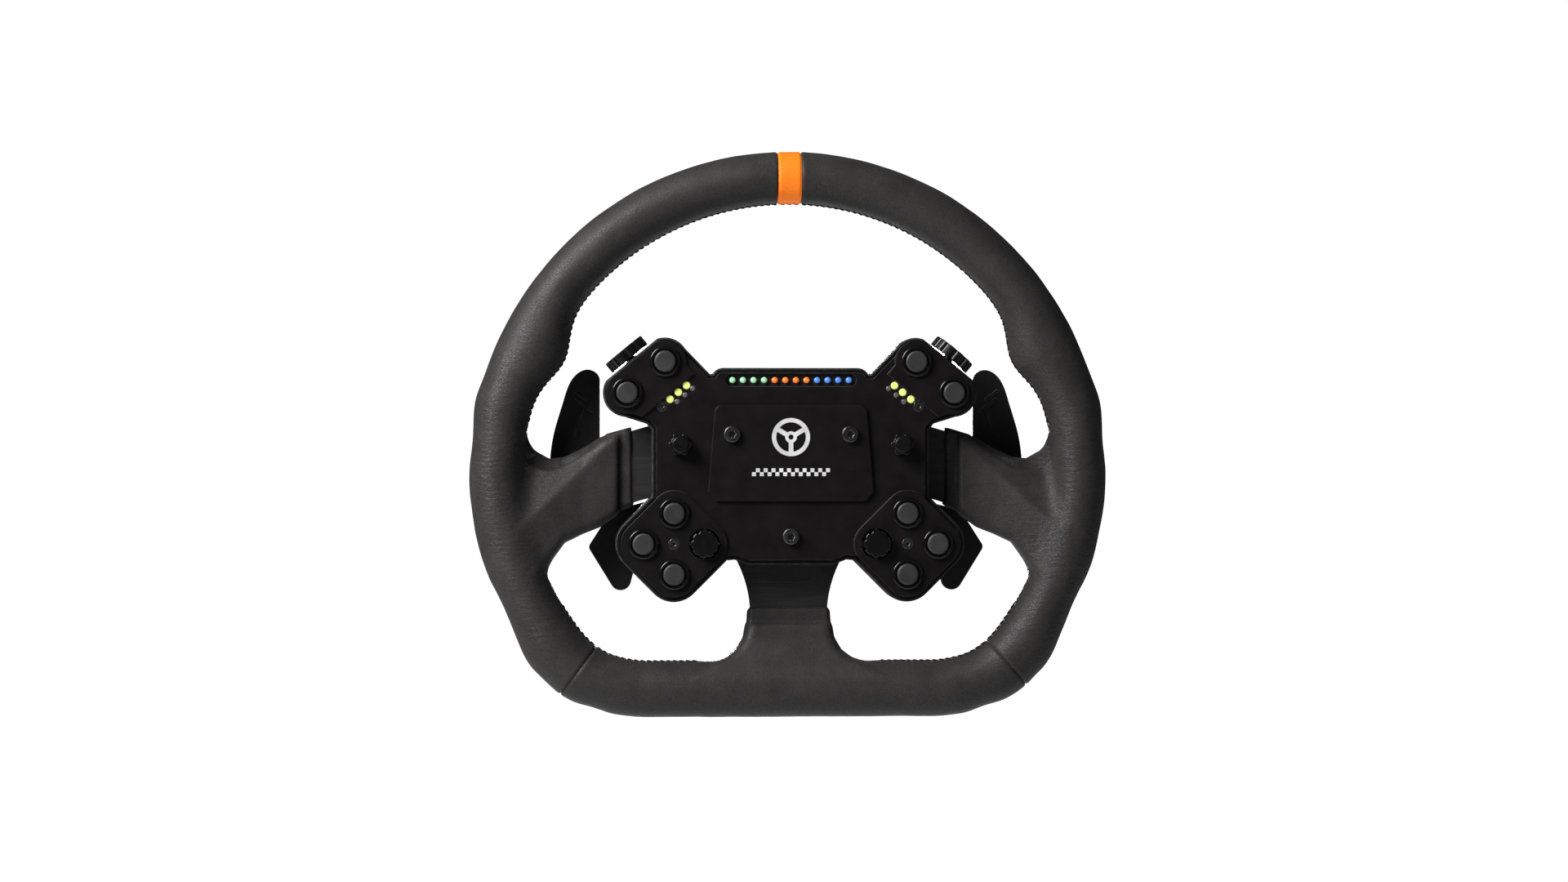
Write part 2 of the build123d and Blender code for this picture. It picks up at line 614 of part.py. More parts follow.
with BuildPart() as switch_blocks:
    with BuildSketch(at(BOARD_F + BOARD_T)):
        for tag, side in SIDES:
            for point in (UPPER_NEAR, UPPER_FAR):
                with Locations(Location((side * point[0], point[1], 0), (0, 0, side * UPPER_TURN))):
                    Rectangle(11.6, 11.6)
        with Locations(*both_sides(LOWER_BUTTONS)):
            Rectangle(11.6, 11.6, rotation=45)
    extrude(amount=SWITCH_TOP - BOARD_F - BOARD_T)
    chamfer(switch_blocks.faces().filter_by(Axis.Y).group_by(Axis.Y)[0].edges(), 0.3)
switch_blocks.part.label = "switch_blocks"
export_step(switch_blocks.part, "parts/switch_blocks.step")

with BuildPart() as main_board:
    with BuildSketch(at(39.2)):
        with Locations((0, 32.5)):
            Rectangle(80, 15)
        with Locations(*HUB_BOLT_POINTS[:2]):
            Circle(6, mode=Mode.SUBTRACT)
    extrude(amount=1.6)
    with BuildSketch(at(40.8)):
        with Locations((-14, 32), (8, 33)):
            Rectangle(9, 9)
        with Locations((24, 33)):
            Rectangle(12, 7)
    extrude(amount=1.4)
main_board.part.label = "main_board"
export_step(main_board.part, "parts/main_board.step")

with BuildPart() as encoder_bodies:
    for tag, side in SIDES:
        with BuildSketch(side_knob_plane(side, 2.8)):
            Rectangle(8.2, 11)
        extrude(amount=6.8)
        with BuildSketch(side_knob_plane(side, 9.6)):
            Circle(3.4)
        extrude(amount=2.4)
        with BuildSketch(side_knob_plane(side, 4)):
            Circle(2.6)
        extrude(amount=9, mode=Mode.SUBTRACT)
    with BuildSketch(at(WALL_TOP - 8)):
        with Locations(*both_sides([STAR_AT])):
            Rectangle(12, 12)
    extrude(amount=8)
    with BuildSketch(at(WALL_TOP)):
        with Locations(*both_sides([STAR_AT])):
            Circle(3.1)
    extrude(amount=3)
    with BuildSketch(at(BOARD_F + BOARD_T)):
        with Locations(*both_sides([LOWER_KNOB])):
            Rectangle(11.6, 11.6, rotation=45)
    extrude(amount=46 - BOARD_F - BOARD_T)
    with BuildSketch(at(46)):
        with Locations(*both_sides([LOWER_KNOB])):
            Circle(3.4)
    extrude(amount=2)
    with BuildSketch(at(42.5)):
        with Locations(*both_sides([LOWER_KNOB, STAR_AT])):
            Circle(2.4)
    extrude(amount=10, mode=Mode.SUBTRACT)
encoder_bodies.part.label = "encoder_bodies"
export_step(encoder_bodies.part, "parts/encoder_bodies.step")

with BuildPart() as batteries:
    for z in CELL_Z:
        with Locations((0, -CELL_F, z)):
            Cylinder(CELL_R, CELL_LENGTH - 1.2, rotation=(0, 90, 0))
        with Locations((CELL_LENGTH / 2, -CELL_F, z)):
            Cylinder(2.7, 1.2, rotation=(0, 90, 0), align=(Align.CENTER, Align.CENTER, Align.MAX))
batteries.part.label = "batteries"
export_step(batteries.part, "parts/batteries.step")

# ---------------------------------------------------------------- controls the hands move
with BuildPart() as button_bezels:
    with BuildSketch(at(SWITCH_TOP)):
        with Locations(*ALL_BUTTONS):
            Circle(BARREL_R)
    extrude(amount=PAD_TOP - SWITCH_TOP)
    with BuildSketch(at(PAD_TOP)):
        with Locations(*ALL_BUTTONS):
            Circle(BEZEL_R)
    extrude(amount=2.1)
    fillet(button_bezels.faces().filter_by(Axis.Y).group_by(Axis.Y)[0].edges(), 0.9)
    with BuildSketch(at(SWITCH_TOP)):
        with Locations(*ALL_BUTTONS):
            Circle(BORE_R)
    extrude(amount=20, mode=Mode.SUBTRACT)
button_bezels.part.label = "button_bezels"
export_step(button_bezels.part, "parts/button_bezels.step")

for tag, side in SIDES:
    for name, (x, z) in BUTTONS.items():
        with BuildPart() as cap:
            with BuildSketch(at(49)):
                with Locations((side * x, z)):
                    Circle(CAP_R)
            extrude(amount=6.6)
            fillet(cap.faces().filter_by(Axis.Y).sort_by(Axis.Y)[0].edges(), 1.2)
            with BuildSketch(at(SWITCH_TOP + CAP_TRAVEL + 0.1)):
                with Locations((side * x, z)):
                    Circle(2)
            extrude(amount=6)
        cap.part.label = f"cap_{tag}_{name}"
        export_step(cap.part, f"parts/cap_{tag}_{name}.step")

    with BuildPart() as star_knob:
        with BuildSketch(at(FACE_TOP + 0.6)):
            with Locations((side * STAR_AT[0], STAR_AT[1])):
                Circle(4.9)
                with PolarLocations(4.5, 6):
                    Circle(1.5)
        extrude(amount=6.6)
        fillet(star_knob.faces().filter_by(Axis.Y).sort_by(Axis.Y)[0].edges(), 0.4)
        with BuildSketch(at(FACE_TOP + 7.2)):
            with Locations((side * STAR_AT[0], STAR_AT[1])):
                Circle(3.9)
        extrude(amount=1.8)
        fillet(star_knob.faces().filter_by(Axis.Y).sort_by(Axis.Y)[0].edges(), 0.5)
        with BuildSketch(at(43)):
            with Locations((side * STAR_AT[0], STAR_AT[1])):
                Circle(2.3)
        extrude(amount=10)
    star_knob.part.label = f"star_knob_{tag}"
    export_step(star_knob.part, f"parts/star_knob_{tag}.step")

    with BuildPart() as pod_knob:
        with BuildSketch(at(48.6)):
            with Locations((side * LOWER_KNOB[0], LOWER_KNOB[1])):
                Circle(7.1)
                with PolarLocations(7.9, 9):
                    Circle(1.5, mode=Mode.SUBTRACT)
        extrude(amount=8.4)
        fillet(pod_knob.faces().filter_by(Axis.Y).sort_by(Axis.Y)[0].edges(), 0.6)
        with BuildSketch(at(43)):
            with Locations((side * LOWER_KNOB[0], LOWER_KNOB[1])):
                Circle(2.3)
        extrude(amount=7)
    pod_knob.part.label = f"pod_knob_{tag}"
    export_step(pod_knob.part, f"parts/pod_knob_{tag}.step")

    with BuildPart() as side_knob:
        with BuildSketch(side_knob_plane(side, 12.6)):
            Circle(SIDE_KNOB_R)
            with PolarLocations(SIDE_KNOB_R + 0.4, 12):
                Circle(1.6, mode=Mode.SUBTRACT)
        extrude(amount=SIDE_KNOB_T)
        rims = side_knob.faces().filter_by(GeomType.PLANE).sort_by(SortBy.AREA)[-2:]
        chamfer([edge for face in rims for edge in face.edges()], 0.4)
        with BuildSketch(side_knob_plane(side, 4.5)):
            Circle(2.5)
        extrude(amount=9)
    side_knob.part.label = f"side_knob_{tag}"
    export_step(side_knob.part, f"parts/side_knob_{tag}.step")

# ---------------------------------------------------------------- hub
with BuildPart() as hub_spacer:
    with BuildSketch(at(0)):
        Circle(SPACER_R)
        Circle(PILOT_R, mode=Mode.SUBTRACT)
    extrude(amount=SPACER_TOP)
    chamfer(hub_spacer.edges().filter_by(GeomType.CIRCLE), 0.8)
    with BuildSketch(at(0)):
        with Locations(*HUB_BOLT_POINTS, *SPACER_SCREW_POINTS):
            Circle(THREAD_R)
    extrude(amount=9, mode=Mode.SUBTRACT)
    with BuildSketch(at(SPACER_TOP)):
        with Locations(*HUB_BOLT_POINTS, *SPACER_SCREW_POINTS):
            Circle(THREAD_R + 0.02)
    extrude(amount=-15.5, mode=Mode.SUBTRACT)
hub_spacer.part.label = "hub_spacer"
export_step(hub_spacer.part, "parts/hub_spacer.step")

with BuildPart() as spacer_screws:
    for x, z in SPACER_SCREW_POINTS:
        with BuildSketch(at(FRAME_TOP - 16)):
            with Locations((x, z)):
                Circle(THREAD_R)
        extrude(amount=15.9)
        with Locations((x, -FRAME_TOP + 0.1, z)):
            Cone(THREAD_R, 4.9, 2.2, rotation=(90, 0, 0), align=(Align.CENTER, Align.CENTER, Align.MAX))
        with BuildSketch(at(FRAME_TOP - 1.8)):
            with Locations((x, z)):
                RegularPolygon(1.7, 6)
        extrude(amount=3, mode=Mode.SUBTRACT)
spacer_screws.part.label = "spacer_screws"
export_step(spacer_screws.part, "parts/spacer_screws.step")

# ---------------------------------------------------------------- paddles
CASE_GAP_R = SPACER_R + 1   # inner radius of the casing round the hub spacer
FLOOR_F = SPACER_TOP - 2    # the casing's floor lies against the frame
SHIFTER_ARM = ((58, -6), (58, 14), (96, 14), (112, 11), (112, -4), (96, -6))
SHIFTER_BLADE = (
    (98, 45), (99.5, 49.3), (104.5, 51.4), (110.3, 48.8), (117, 35),
    (122, 18), (124, 4), (122, -10), (117, -14),
)
CLUTCH_ARM = ((58, -31), (58, -23), (70, -23), (71, -17), (90, -22), (80, -38), (72, -31))
CLUTCH_BLADE = (((90, -25), 3.0), ((100.6, -41.6), 3.0), ((87.1, -58.8), 5.5), ((78.5, -36), 3.0))
CASE_HEIGHT = CASE_TOP - CASE_BOTTOM
CASE_MIDDLE = (CASE_TOP + CASE_BOTTOM) / 2


def case_face(inset):
    """Both wings of the casing, moved inwards by inset."""
    with BuildSketch(mode=Mode.PRIVATE) as face:
        with Locations((0, CASE_MIDDLE)):
            RectangleRounded(2 * (CASE_X - inset), CASE_HEIGHT - 2 * inset, 10 - inset)
        Circle(CASE_GAP_R + inset, mode=Mode.SUBTRACT)
    return face.sketch


with BuildPart() as paddle_casing:
    with BuildSketch(at(CASE_F)):
        add(case_face(0))
    extrude(amount=SPACER_TOP - CASE_F)
    with BuildSketch(at(CASE_F)):
        add(case_face(2))
    extrude(amount=FLOOR_F - CASE_F, mode=Mode.SUBTRACT)
    with BuildSketch(at(SPACER_TOP - 3)):
        Circle(CASE_GAP_R + 3.5)
        Circle(CASE_GAP_R, mode=Mode.SUBTRACT)
    extrude(amount=3)
    with BuildSketch(at(CASE_F)):
        with Locations(*both_sides(CASE_SCREWS)):
            Circle(3.6)
    extrude(amount=FLOOR_F - CASE_F)
    with BuildSketch(at(8)):
        with Locations(*both_sides([(PIVOT_X, -11.5)])):
            Rectangle(8, 8)
    extrude(amount=FLOOR_F - 8)
    with BuildSketch(at(14)):
        with Locations(*both_sides([(51, 4)])):
            Rectangle(7, 8)
    extrude(amount=FLOOR_F - 14)
    with BuildSketch(at(CASE_F)):
        with Locations(*both_sides(CASE_SCREWS)):
            Circle(1.6)
    extrude(amount=SPACER_TOP - CASE_F, mode=Mode.SUBTRACT)
    with BuildSketch(at(CASE_F)):
        with Locations(*both_sides([(CASE_X, 4)])):
            Rectangle(8, 22.4)
    extrude(amount=6.5, mode=Mode.SUBTRACT)
    with BuildSketch(at(CASE_F)):
        with Locations(*both_sides([(CASE_X, -24)])):
            Rectangle(8, 16.4)
    extrude(amount=8.5, mode=Mode.SUBTRACT)
    with Locations(*[(side * PIVOT_X, -PIVOT_F, CASE_MIDDLE) for tag, side in SIDES]):
        Cylinder(PIN_R + 0.02, CASE_HEIGHT - 1, mode=Mode.SUBTRACT)
paddle_casing.part.label = "paddle_casing"
export_step(paddle_casing.part, "parts/paddle_casing.step")

with BuildPart() as casing_covers:
    with BuildSketch(at(CASE_F - COVER_T)):
        add(case_face(0))
        with Locations(*both_sides(CASE_SCREWS)):
            Circle(1.6, mode=Mode.SUBTRACT)
    extrude(amount=COVER_T)
    chamfer(casing_covers.faces().filter_by(Axis.Y).group_by(Axis.Y)[-1].edges(), 0.5)
casing_covers.part.label = "casing_covers"
export_step(casing_covers.part, "parts/casing_covers.step")

with BuildPart() as casing_screws:
    with BuildSketch(at(CASE_F - COVER_T)):
        with Locations(*both_sides(CASE_SCREWS)):
            Circle(1.5)
    extrude(amount=FRAME_TOP - 0.5 - CASE_F + COVER_T)
    with BuildSketch(at(CASE_F - COVER_T)):
        with Locations(*both_sides(CASE_SCREWS)):
            Circle(2.9)
    extrude(amount=-1.7)
    chamfer(casing_screws.faces().filter_by(Axis.Y).group_by(Axis.Y)[-1].edges(), 0.3)
    with BuildSketch(at(CASE_F - COVER_T - 0.8)):
        with Locations(*both_sides(CASE_SCREWS)):
            RegularPolygon(1.3, 6)
    extrude(amount=-2, mode=Mode.SUBTRACT)
casing_screws.part.label = "casing_screws"
export_step(casing_screws.part, "parts/casing_screws.step")

with BuildPart() as pivot_pins:
    with Locations(*[(side * PIVOT_X, -PIVOT_F, CASE_MIDDLE) for tag, side in SIDES]):
        Cylinder(PIN_R, CASE_HEIGHT - 1.4)
pivot_pins.part.label = "pivot_pins"
export_step(pivot_pins.part, "parts/pivot_pins.step")

with BuildPart() as fixed_magnets:
    with BuildSketch(at(11.8)):
        with Locations(*both_sides([(51, 4)])):
            Circle(3)
    extrude(amount=2.2)
fixed_magnets.part.label = "fixed_magnets"
export_step(fixed_magnets.part, "parts/fixed_magnets.step")

# Torsion springs, each with a straight leg that reaches down to the casing's floor
with BuildPart() as clutch_springs:
    for tag, side in SIDES:
        with BuildLine() as wire:
            coil = Helix(1.4, 4.2, 6.2, center=(side * PIVOT_X, -PIVOT_F, -21.6), lefthand=True)
            Line(coil @ 1, coil @ 1 + (coil % 1) * (FLOOR_F - PIVOT_F - 0.05))
        with BuildSketch(Plane(origin=coil @ 0, z_dir=coil % 0)):
            Circle(0.5)
        sweep(path=wire.line)
clutch_springs.part.label = "clutch_springs"
export_step(clutch_springs.part, "parts/clutch_springs.step")

for tag, side in SIDES:
    with BuildPart() as shifter_arm:
        with BuildSketch(at(ARM_F)):
            Polygon(*[(side * x, z) for x, z in SHIFTER_ARM], align=None)
        extrude(amount=BLADE_F - ARM_F)
        with BuildSketch(Plane.XY.offset(SHIFTER_Z[0])):
            with Locations((side * PIVOT_X, -PIVOT_F)):
                Circle(5)
        extrude(amount=SHIFTER_Z[1] - SHIFTER_Z[0])
        with BuildSketch(at(7)):
            with Locations((side * 54, 4)):
                Rectangle(14, 8)
        extrude(amount=2.5)
        with Locations((side * PIVOT_X, -PIVOT_F, 4)):
            Cylinder(PIN_BORE_R, 40, mode=Mode.SUBTRACT)
        with BuildSketch(at(ARM_F)):
            with Locations((side * 105, -1), (side * 105, 8)):
                Circle(1.5)
        extrude(amount=BLADE_F - ARM_F, mode=Mode.SUBTRACT)
    shifter_arm.part.label = f"shifter_arm_{tag}"
    export_step(shifter_arm.part, f"parts/shifter_arm_{tag}.step")

    with BuildPart() as shifter_blade:
        with BuildSketch(at(BLADE_F)):
            with BuildLine():
                Line((side * 98, -14), (side * 98, 45))
                Spline(*[(side * x, z) for x, z in SHIFTER_BLADE])
                Line((side * 117, -14), (side * 98, -14))
            make_face()
        extrude(amount=BLADE_T)
        with BuildSketch(at(BLADE_F + BLADE_T)):
            with Locations(Location((side * 108, 24, 0), (0, 0, side * -70))):
                SlotOverall(18, 2)
            with Locations(Location((side * 106, 33, 0), (0, 0, side * 38))):
                SlotOverall(12, 1.6)
            with Locations(Location((side * 108, 38, 0), (0, 0, side * 38))):
                SlotOverall(9, 1.6)
        extrude(amount=0.5)
        with BuildSketch(at(BLADE_F)):
            with Locations((side * 105, -1), (side * 105, 8)):
                Circle(1.5)
        extrude(amount=2, mode=Mode.SUBTRACT)
    shifter_blade.part.label = f"shifter_blade_{tag}"
    export_step(shifter_blade.part, f"parts/shifter_blade_{tag}.step")

    with BuildPart() as shifter_screws:
        with BuildSketch(at(ARM_F)):
            with Locations((side * 105, -1), (side * 105, 8)):
                Circle(1.48)
        extrude(amount=5.4)
        with BuildSketch(at(ARM_F)):
            with Locations((side * 105, -1), (side * 105, 8)):
                Circle(2.7)
        extrude(amount=-1.6)
        chamfer(shifter_screws.faces().filter_by(Axis.Y).group_by(Axis.Y)[-1].edges(), 0.3)
    shifter_screws.part.label = f"shifter_screws_{tag}"
    export_step(shifter_screws.part, f"parts/shifter_screws_{tag}.step")

    with BuildPart() as shifter_magnet:
        with BuildSketch(at(9.5)):
            with Locations((side * 51, 4)):
                Circle(3)
        extrude(amount=2)
    shifter_magnet.part.label = f"shifter_magnet_{tag}"
    export_step(shifter_magnet.part, f"parts/shifter_magnet_{tag}.step")

    with BuildPart() as clutch_lever:
        with BuildSketch(at(6)):
            Polygon(*[(side * x, z) for x, z in CLUTCH_ARM], align=None)
            add(hull(CLUTCH_BLADE, side))
        extrude(amount=3.5)
        chamfer(clutch_lever.faces().filter_by(Axis.Y).sort_by(Axis.Y)[0].edges(), 0.5)
        with BuildSketch(Plane.XY.offset(CLUTCH_Z[0])):
            with Locations((side * PIVOT_X, -PIVOT_F)):
                Circle(5)
        extrude(amount=CLUTCH_Z[1] + 1 - CLUTCH_Z[0])
        with Locations((side * PIVOT_X, -PIVOT_F, -24)):
            Cylinder(PIN_BORE_R, 40, mode=Mode.SUBTRACT)
    clutch_lever.part.label = f"clutch_lever_{tag}"
    export_step(clutch_lever.part, f"parts/clutch_lever_{tag}.step")
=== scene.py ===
import json
import math

import bmesh
import bpy
import numpy as np
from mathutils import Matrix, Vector, noise
from mathutils.kdtree import KDTree


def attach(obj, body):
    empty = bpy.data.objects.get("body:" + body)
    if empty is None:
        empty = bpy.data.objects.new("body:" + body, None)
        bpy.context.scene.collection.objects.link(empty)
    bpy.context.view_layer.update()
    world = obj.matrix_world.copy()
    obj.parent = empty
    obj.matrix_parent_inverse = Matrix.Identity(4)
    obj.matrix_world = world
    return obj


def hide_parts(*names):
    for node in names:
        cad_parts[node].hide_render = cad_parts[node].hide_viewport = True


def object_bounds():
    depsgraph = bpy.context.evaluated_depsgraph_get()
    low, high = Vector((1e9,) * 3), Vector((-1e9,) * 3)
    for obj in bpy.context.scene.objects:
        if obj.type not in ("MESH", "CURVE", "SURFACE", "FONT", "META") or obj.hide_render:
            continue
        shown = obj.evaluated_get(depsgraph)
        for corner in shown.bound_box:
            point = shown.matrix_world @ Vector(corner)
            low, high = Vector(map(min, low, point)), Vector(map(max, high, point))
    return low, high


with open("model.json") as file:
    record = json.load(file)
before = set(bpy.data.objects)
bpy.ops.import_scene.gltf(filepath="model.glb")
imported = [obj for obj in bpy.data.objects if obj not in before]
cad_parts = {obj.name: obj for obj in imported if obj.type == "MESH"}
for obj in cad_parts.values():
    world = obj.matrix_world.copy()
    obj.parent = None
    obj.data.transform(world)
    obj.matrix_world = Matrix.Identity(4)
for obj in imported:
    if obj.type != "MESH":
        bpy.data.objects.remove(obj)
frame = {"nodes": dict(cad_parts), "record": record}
CAD_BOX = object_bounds()
NODES = frame["nodes"]
MM = 0.001

# ---------------------------------------------------------------- rim geometry, in mm
# A point is (x, f, z): f is the height in front of the hub's back face, so y = -f.
R_BIG, R_CORNER, Z_BOTTOM, F_RIM = 150.3, 57.0, -114.3, 32.0    # the grip's centreline
CZ = Z_BOTTOM + R_CORNER
CX = math.sqrt((R_BIG - R_CORNER) ** 2 - CZ**2)
CORNER_START = 180 + math.degrees(math.atan2(-CZ, CX))
SEAM_ANGLE = {-1: 233.0, 1: 228.0}    # direction of each lower seam from its corner's centre, left and right
MARKER_HALF = 6.0                     # half-width of the centre marker
GRIP_OUTWARD, GRIP_INWARD, GRIP_AXIAL = 13.8, 13.5, 15.8    # half-widths where the grip is plain
OUTER_HUMPS = (
    # height, direction angle, half-width, power
    (1.5, 183, 20, 2),
    (3.9, 228, 17, 4),
    (-0.8, 204, 5, 2),
    (1.1, 167.5, 3.5, 2),
    (-1.0, 175.5, 4, 2),
    (0.8, 199, 6, 2),
    (1.0, 216.5, 4, 2),
    (0.7, 253, 7, 2),
)


def hump(a, centre, width, power=2):
    return np.exp(-np.abs((a - centre) / width) ** power)


def grip(theta):
    """Outward, inward and axial half-widths of the grip, by direction angle from 90 (top) to 270 (bottom)."""
    outward = GRIP_OUTWARD
    for height, centre, width, power in OUTER_HUMPS:
        outward = outward + height * hump(theta, centre, width, power)
    thumb_rest = 8.0 * hump(theta, 154.5, 7.5)
    palm = 1.2 * hump(theta, 185, 40)
    flat_bottom = 1.0 * hump(theta, 270, 22, 4)
    return outward + flat_bottom, GRIP_INWARD + thumb_rest + flat_bottom, GRIP_AXIAL + palm


def rim_local(p):
    """Direction angle, distance outwards from the centreline and height above the rim's middle plane."""
    xa, f, z = np.abs(p[:, 0]), p[:, 1], p[:, 2]
    theta = np.degrees(np.arctan2(z, -xa)) % 360
    u = np.hypot(xa, z) - R_BIG
    dx, dz = xa - CX, z - CZ
    low = theta > CORNER_START
    corner = low & (dx > 0)
    flat = low & (dx <= 0)
    theta = np.where(corner, np.degrees(np.arctan2(dz, -dx)) % 360, np.where(flat, 270.0, theta))
    u = np.where(corner, np.hypot(dx, dz) - R_CORNER, np.where(flat, Z_BOTTOM - z, u))
    return theta, u, f - F_RIM


def rim_point(theta, run, u, w, side):
    """The point with these local coordinates. run is how far along the straight bottom it is."""
    a = np.radians(theta)
    ox, oz = np.cos(a), np.sin(a)
    corner = theta > CORNER_START
    x = np.where(corner, -CX + run + (R_CORNER + u) * ox, (R_BIG + u) * ox)
    z = np.where(corner, CZ + (R_CORNER + u) * oz, (R_BIG + u) * oz)
    return np.stack([-side * x, F_RIM + w, z], 1)


SIDE_PAD = np.array([
    # x, bottom, top, thickness, middle
    (87.5, -23.8, 18.6, 13.0, 28.0),
    (98.0, -31.0, 16.0, 14.0, 28.6),
    (107.0, -34.4, 10.5, 15.0, 29.3),
    (116.0, -38.8, 6.0, 17.5, 30.3),
    (124.0, -50.0, 5.0, 20.0, 31.2),
    (132.0, -62.0, 9.5, 23.0, 31.8),
    (140.0, -68.0, 18.0, 25.0, 32.0),
])
BOTTOM_PAD = np.array([
    # depth below the axis, width, thickness, middle
    (80.6, 45.0, 12.5, 28.0),
    (88.0, 48.0, 14.0, 28.6),
    (94.0, 55.0, 16.5, 29.8),
    (98.0, 65.0, 19.0, 30.8),
    (102.0, 82.0, 22.5, 31.6),
    (108.0, 104.0, 26.0, 32.0),
])
PLATE_F = 28.0                                 # middle of the metal spokes
FLAP_HALF, FLAP_ROUND = 3.3, 0.9               # half-thickness of a flap, and the rounding of its edges
PAD_TO_FLAP, SIDE_TO_GRIP, BOTTOM_TO_GRIP = 1.6, 7.0, 4.0    # how softly these shapes run into each other
RIDGE_Z, RIDGE_FALL = 17.5, 0.95               # above this line, the front of a side pad slopes back
RIDGE_SLOPE, RIDGE_FADE = 0.38, 14.0
SIDE_PAD_END, SIDE_END_ROUND = 88.3, 1.6
SIDE_FLAP_TOP, SIDE_FLAP_LOW = (81.5, 21.5), (80.3, -19.8)   # corners of a side flap's free end, in x and z
SIDE_FLAP_LEAN, SIDE_FLAP_TOP_FALL, SIDE_FLAP_LOW_FALL = 0.029, 0.296, 0.354
SIDE_FLAP_REACH = 95.0                         # where a side flap has run in under its pad
BOTTOM_PAD_ROUND, BOTTOM_END_ROUND = 5.5, 2.0
BOTTOM_FLAP_Z, BOTTOM_FLAP_REACH = -72.0, -86.0
BOTTOM_FLAP_HALF, BOTTOM_FLAP_SPREAD = 21.5, 0.0714


def rounded_max(distances, r):
    """Distance to the overlap of several shapes, with its corners rounded by r."""
    q = np.stack(distances) + r
    return np.sqrt((np.maximum(q, 0) ** 2).sum(0)) + np.minimum(q.max(0), 0) - r


def smooth_min(a, b, k):
    h = np.clip(0.5 + 0.5 * (b - a) / k, 0, 1)
    return b + (a - b) * h - k * h * (1 - h)


def side_spoke(p):
    """The padded root of a side spoke, with the flap of leather that lies on the metal."""
    xa, f, z = np.abs(p[:, 0]), p[:, 1], p[:, 2]
    start, end = SIDE_PAD[0, 0], SIDE_PAD[-1, 0]
    x = np.clip(xa, start, end)
    low, top, thick, middle = (np.interp(x, SIDE_PAD[:, 0], SIDE_PAD[:, i]) for i in (1, 2, 3, 4))
    ridge = RIDGE_Z - (x - start) * RIDGE_FALL
    slope = np.maximum(z - ridge, 0) * np.clip((x - start) / RIDGE_FADE, 0, 1) * RIDGE_SLOPE
    slope = np.where(f > middle, slope, 0)
    across = np.abs(z - (low + top) / 2) - (top - low) / 2
    pad = rounded_max([across, np.abs(f - middle) - thick / 2], 0.4 * thick) + slope
    pad = rounded_max([pad, SIDE_PAD_END - xa], SIDE_END_ROUND)
    pad = np.where(xa > end, np.maximum(pad, xa - end), pad)
    highlight_colour = SIDE_FLAP_TOP[0] + (z - SIDE_FLAP_TOP[1]) * SIDE_FLAP_LEAN
    upper = SIDE_FLAP_TOP[1] - (xa - SIDE_FLAP_TOP[0]) * SIDE_FLAP_TOP_FALL
    lower = SIDE_FLAP_LOW[1] - (xa - SIDE_FLAP_LOW[0]) * SIDE_FLAP_LOW_FALL
    sides = [highlight_colour - xa, xa - SIDE_FLAP_REACH, z - upper, lower - z, np.abs(f - PLATE_F) - FLAP_HALF]
    return smooth_min(pad, rounded_max(sides, FLAP_ROUND), PAD_TO_FLAP)


def bottom_spoke(p):
    """The padded root of the bottom spoke and its flap."""
    x, f, z = p[:, 0], p[:, 1], p[:, 2]
    start, end = BOTTOM_PAD[0, 0], BOTTOM_PAD[-1, 0]
    d = np.clip(-z, start, end)
    width, thick, middle = (np.interp(d, BOTTOM_PAD[:, 0], BOTTOM_PAD[:, i]) for i in (1, 2, 3))
    pad = rounded_max([np.abs(x) - width / 2, np.abs(f - middle) - thick / 2], BOTTOM_PAD_ROUND)
    pad = rounded_max([pad, start + z], BOTTOM_END_ROUND)
    pad = np.where(-z > end, np.maximum(pad, -z - end), pad)
    half = BOTTOM_FLAP_HALF + (BOTTOM_FLAP_Z - z) * BOTTOM_FLAP_SPREAD
    sides = [z - BOTTOM_FLAP_Z, BOTTOM_FLAP_REACH - z, np.abs(x) - half, np.abs(f - PLATE_F) - FLAP_HALF]
    return smooth_min(pad, rounded_max(sides, FLAP_ROUND), PAD_TO_FLAP)


def rim_distance(p):
    """Roughly the distance from the leather's surface: the grip, blended into the three spokes' roots."""
    theta, u, w = rim_local(p)
    outward, inward, depth = grip(theta)
    centre, half = (outward - inward) / 2, (outward + inward) / 2
    q = u - centre
    k = np.hypot(q / half, w / depth)
    plain_grip = np.hypot(q, w) * (1 - 1 / np.maximum(k, 1e-6))
    with_sides = smooth_min(plain_grip, side_spoke(p), SIDE_TO_GRIP)
    return smooth_min(with_sides, bottom_spoke(p), BOTTOM_TO_GRIP)


def gradient(p, step=0.25):
    g = np.empty_like(p)
    for i in range(3):
        e = np.zeros(3)
        e[i] = step
        g[:, i] = (rim_distance(p + e) - rim_distance(p - e)) / (2 * step)
    return g


def normals_at(p):
    g = gradient(p)
    return g / np.maximum(np.linalg.norm(g, axis=1), 1e-9)[:, None]


def project(p, level=0.0, rounds=7):
    """Moves points onto the surface at this distance from the leather's outside."""
    for _ in range(rounds):
        d, g = rim_distance(p) - level, gradient(p)
        step = np.clip(d / np.maximum((g * g).sum(1), 0.3), -1.5, 1.5)
        p = p - 0.9 * g * step[:, None]
    return p


# ---------------------------------------------------------------- mesh helpers
def to_world(p):
    """Points (x, f, z) in mm as (x, y, z) in metres."""
    return np.stack([p[:, 0], -p[:, 1], p[:, 2]], 1) * MM


def from_world(co):
    return np.stack([co[:, 0], -co[:, 1], co[:, 2]], 1) / MM


def linked(name, data):
    """A new object with this data, in the scene."""
    obj = bpy.data.objects.new(name, data)
    bpy.context.scene.collection.objects.link(obj)
    return obj


def new_object(name, verts, faces):
    mesh = bpy.data.meshes.new(name)
    mesh.from_pydata([tuple(v) for v in verts], [], [tuple(int(i) for i in f) for f in faces])
    mesh.update()
    mesh.shade_smooth()
    return linked(name, mesh)


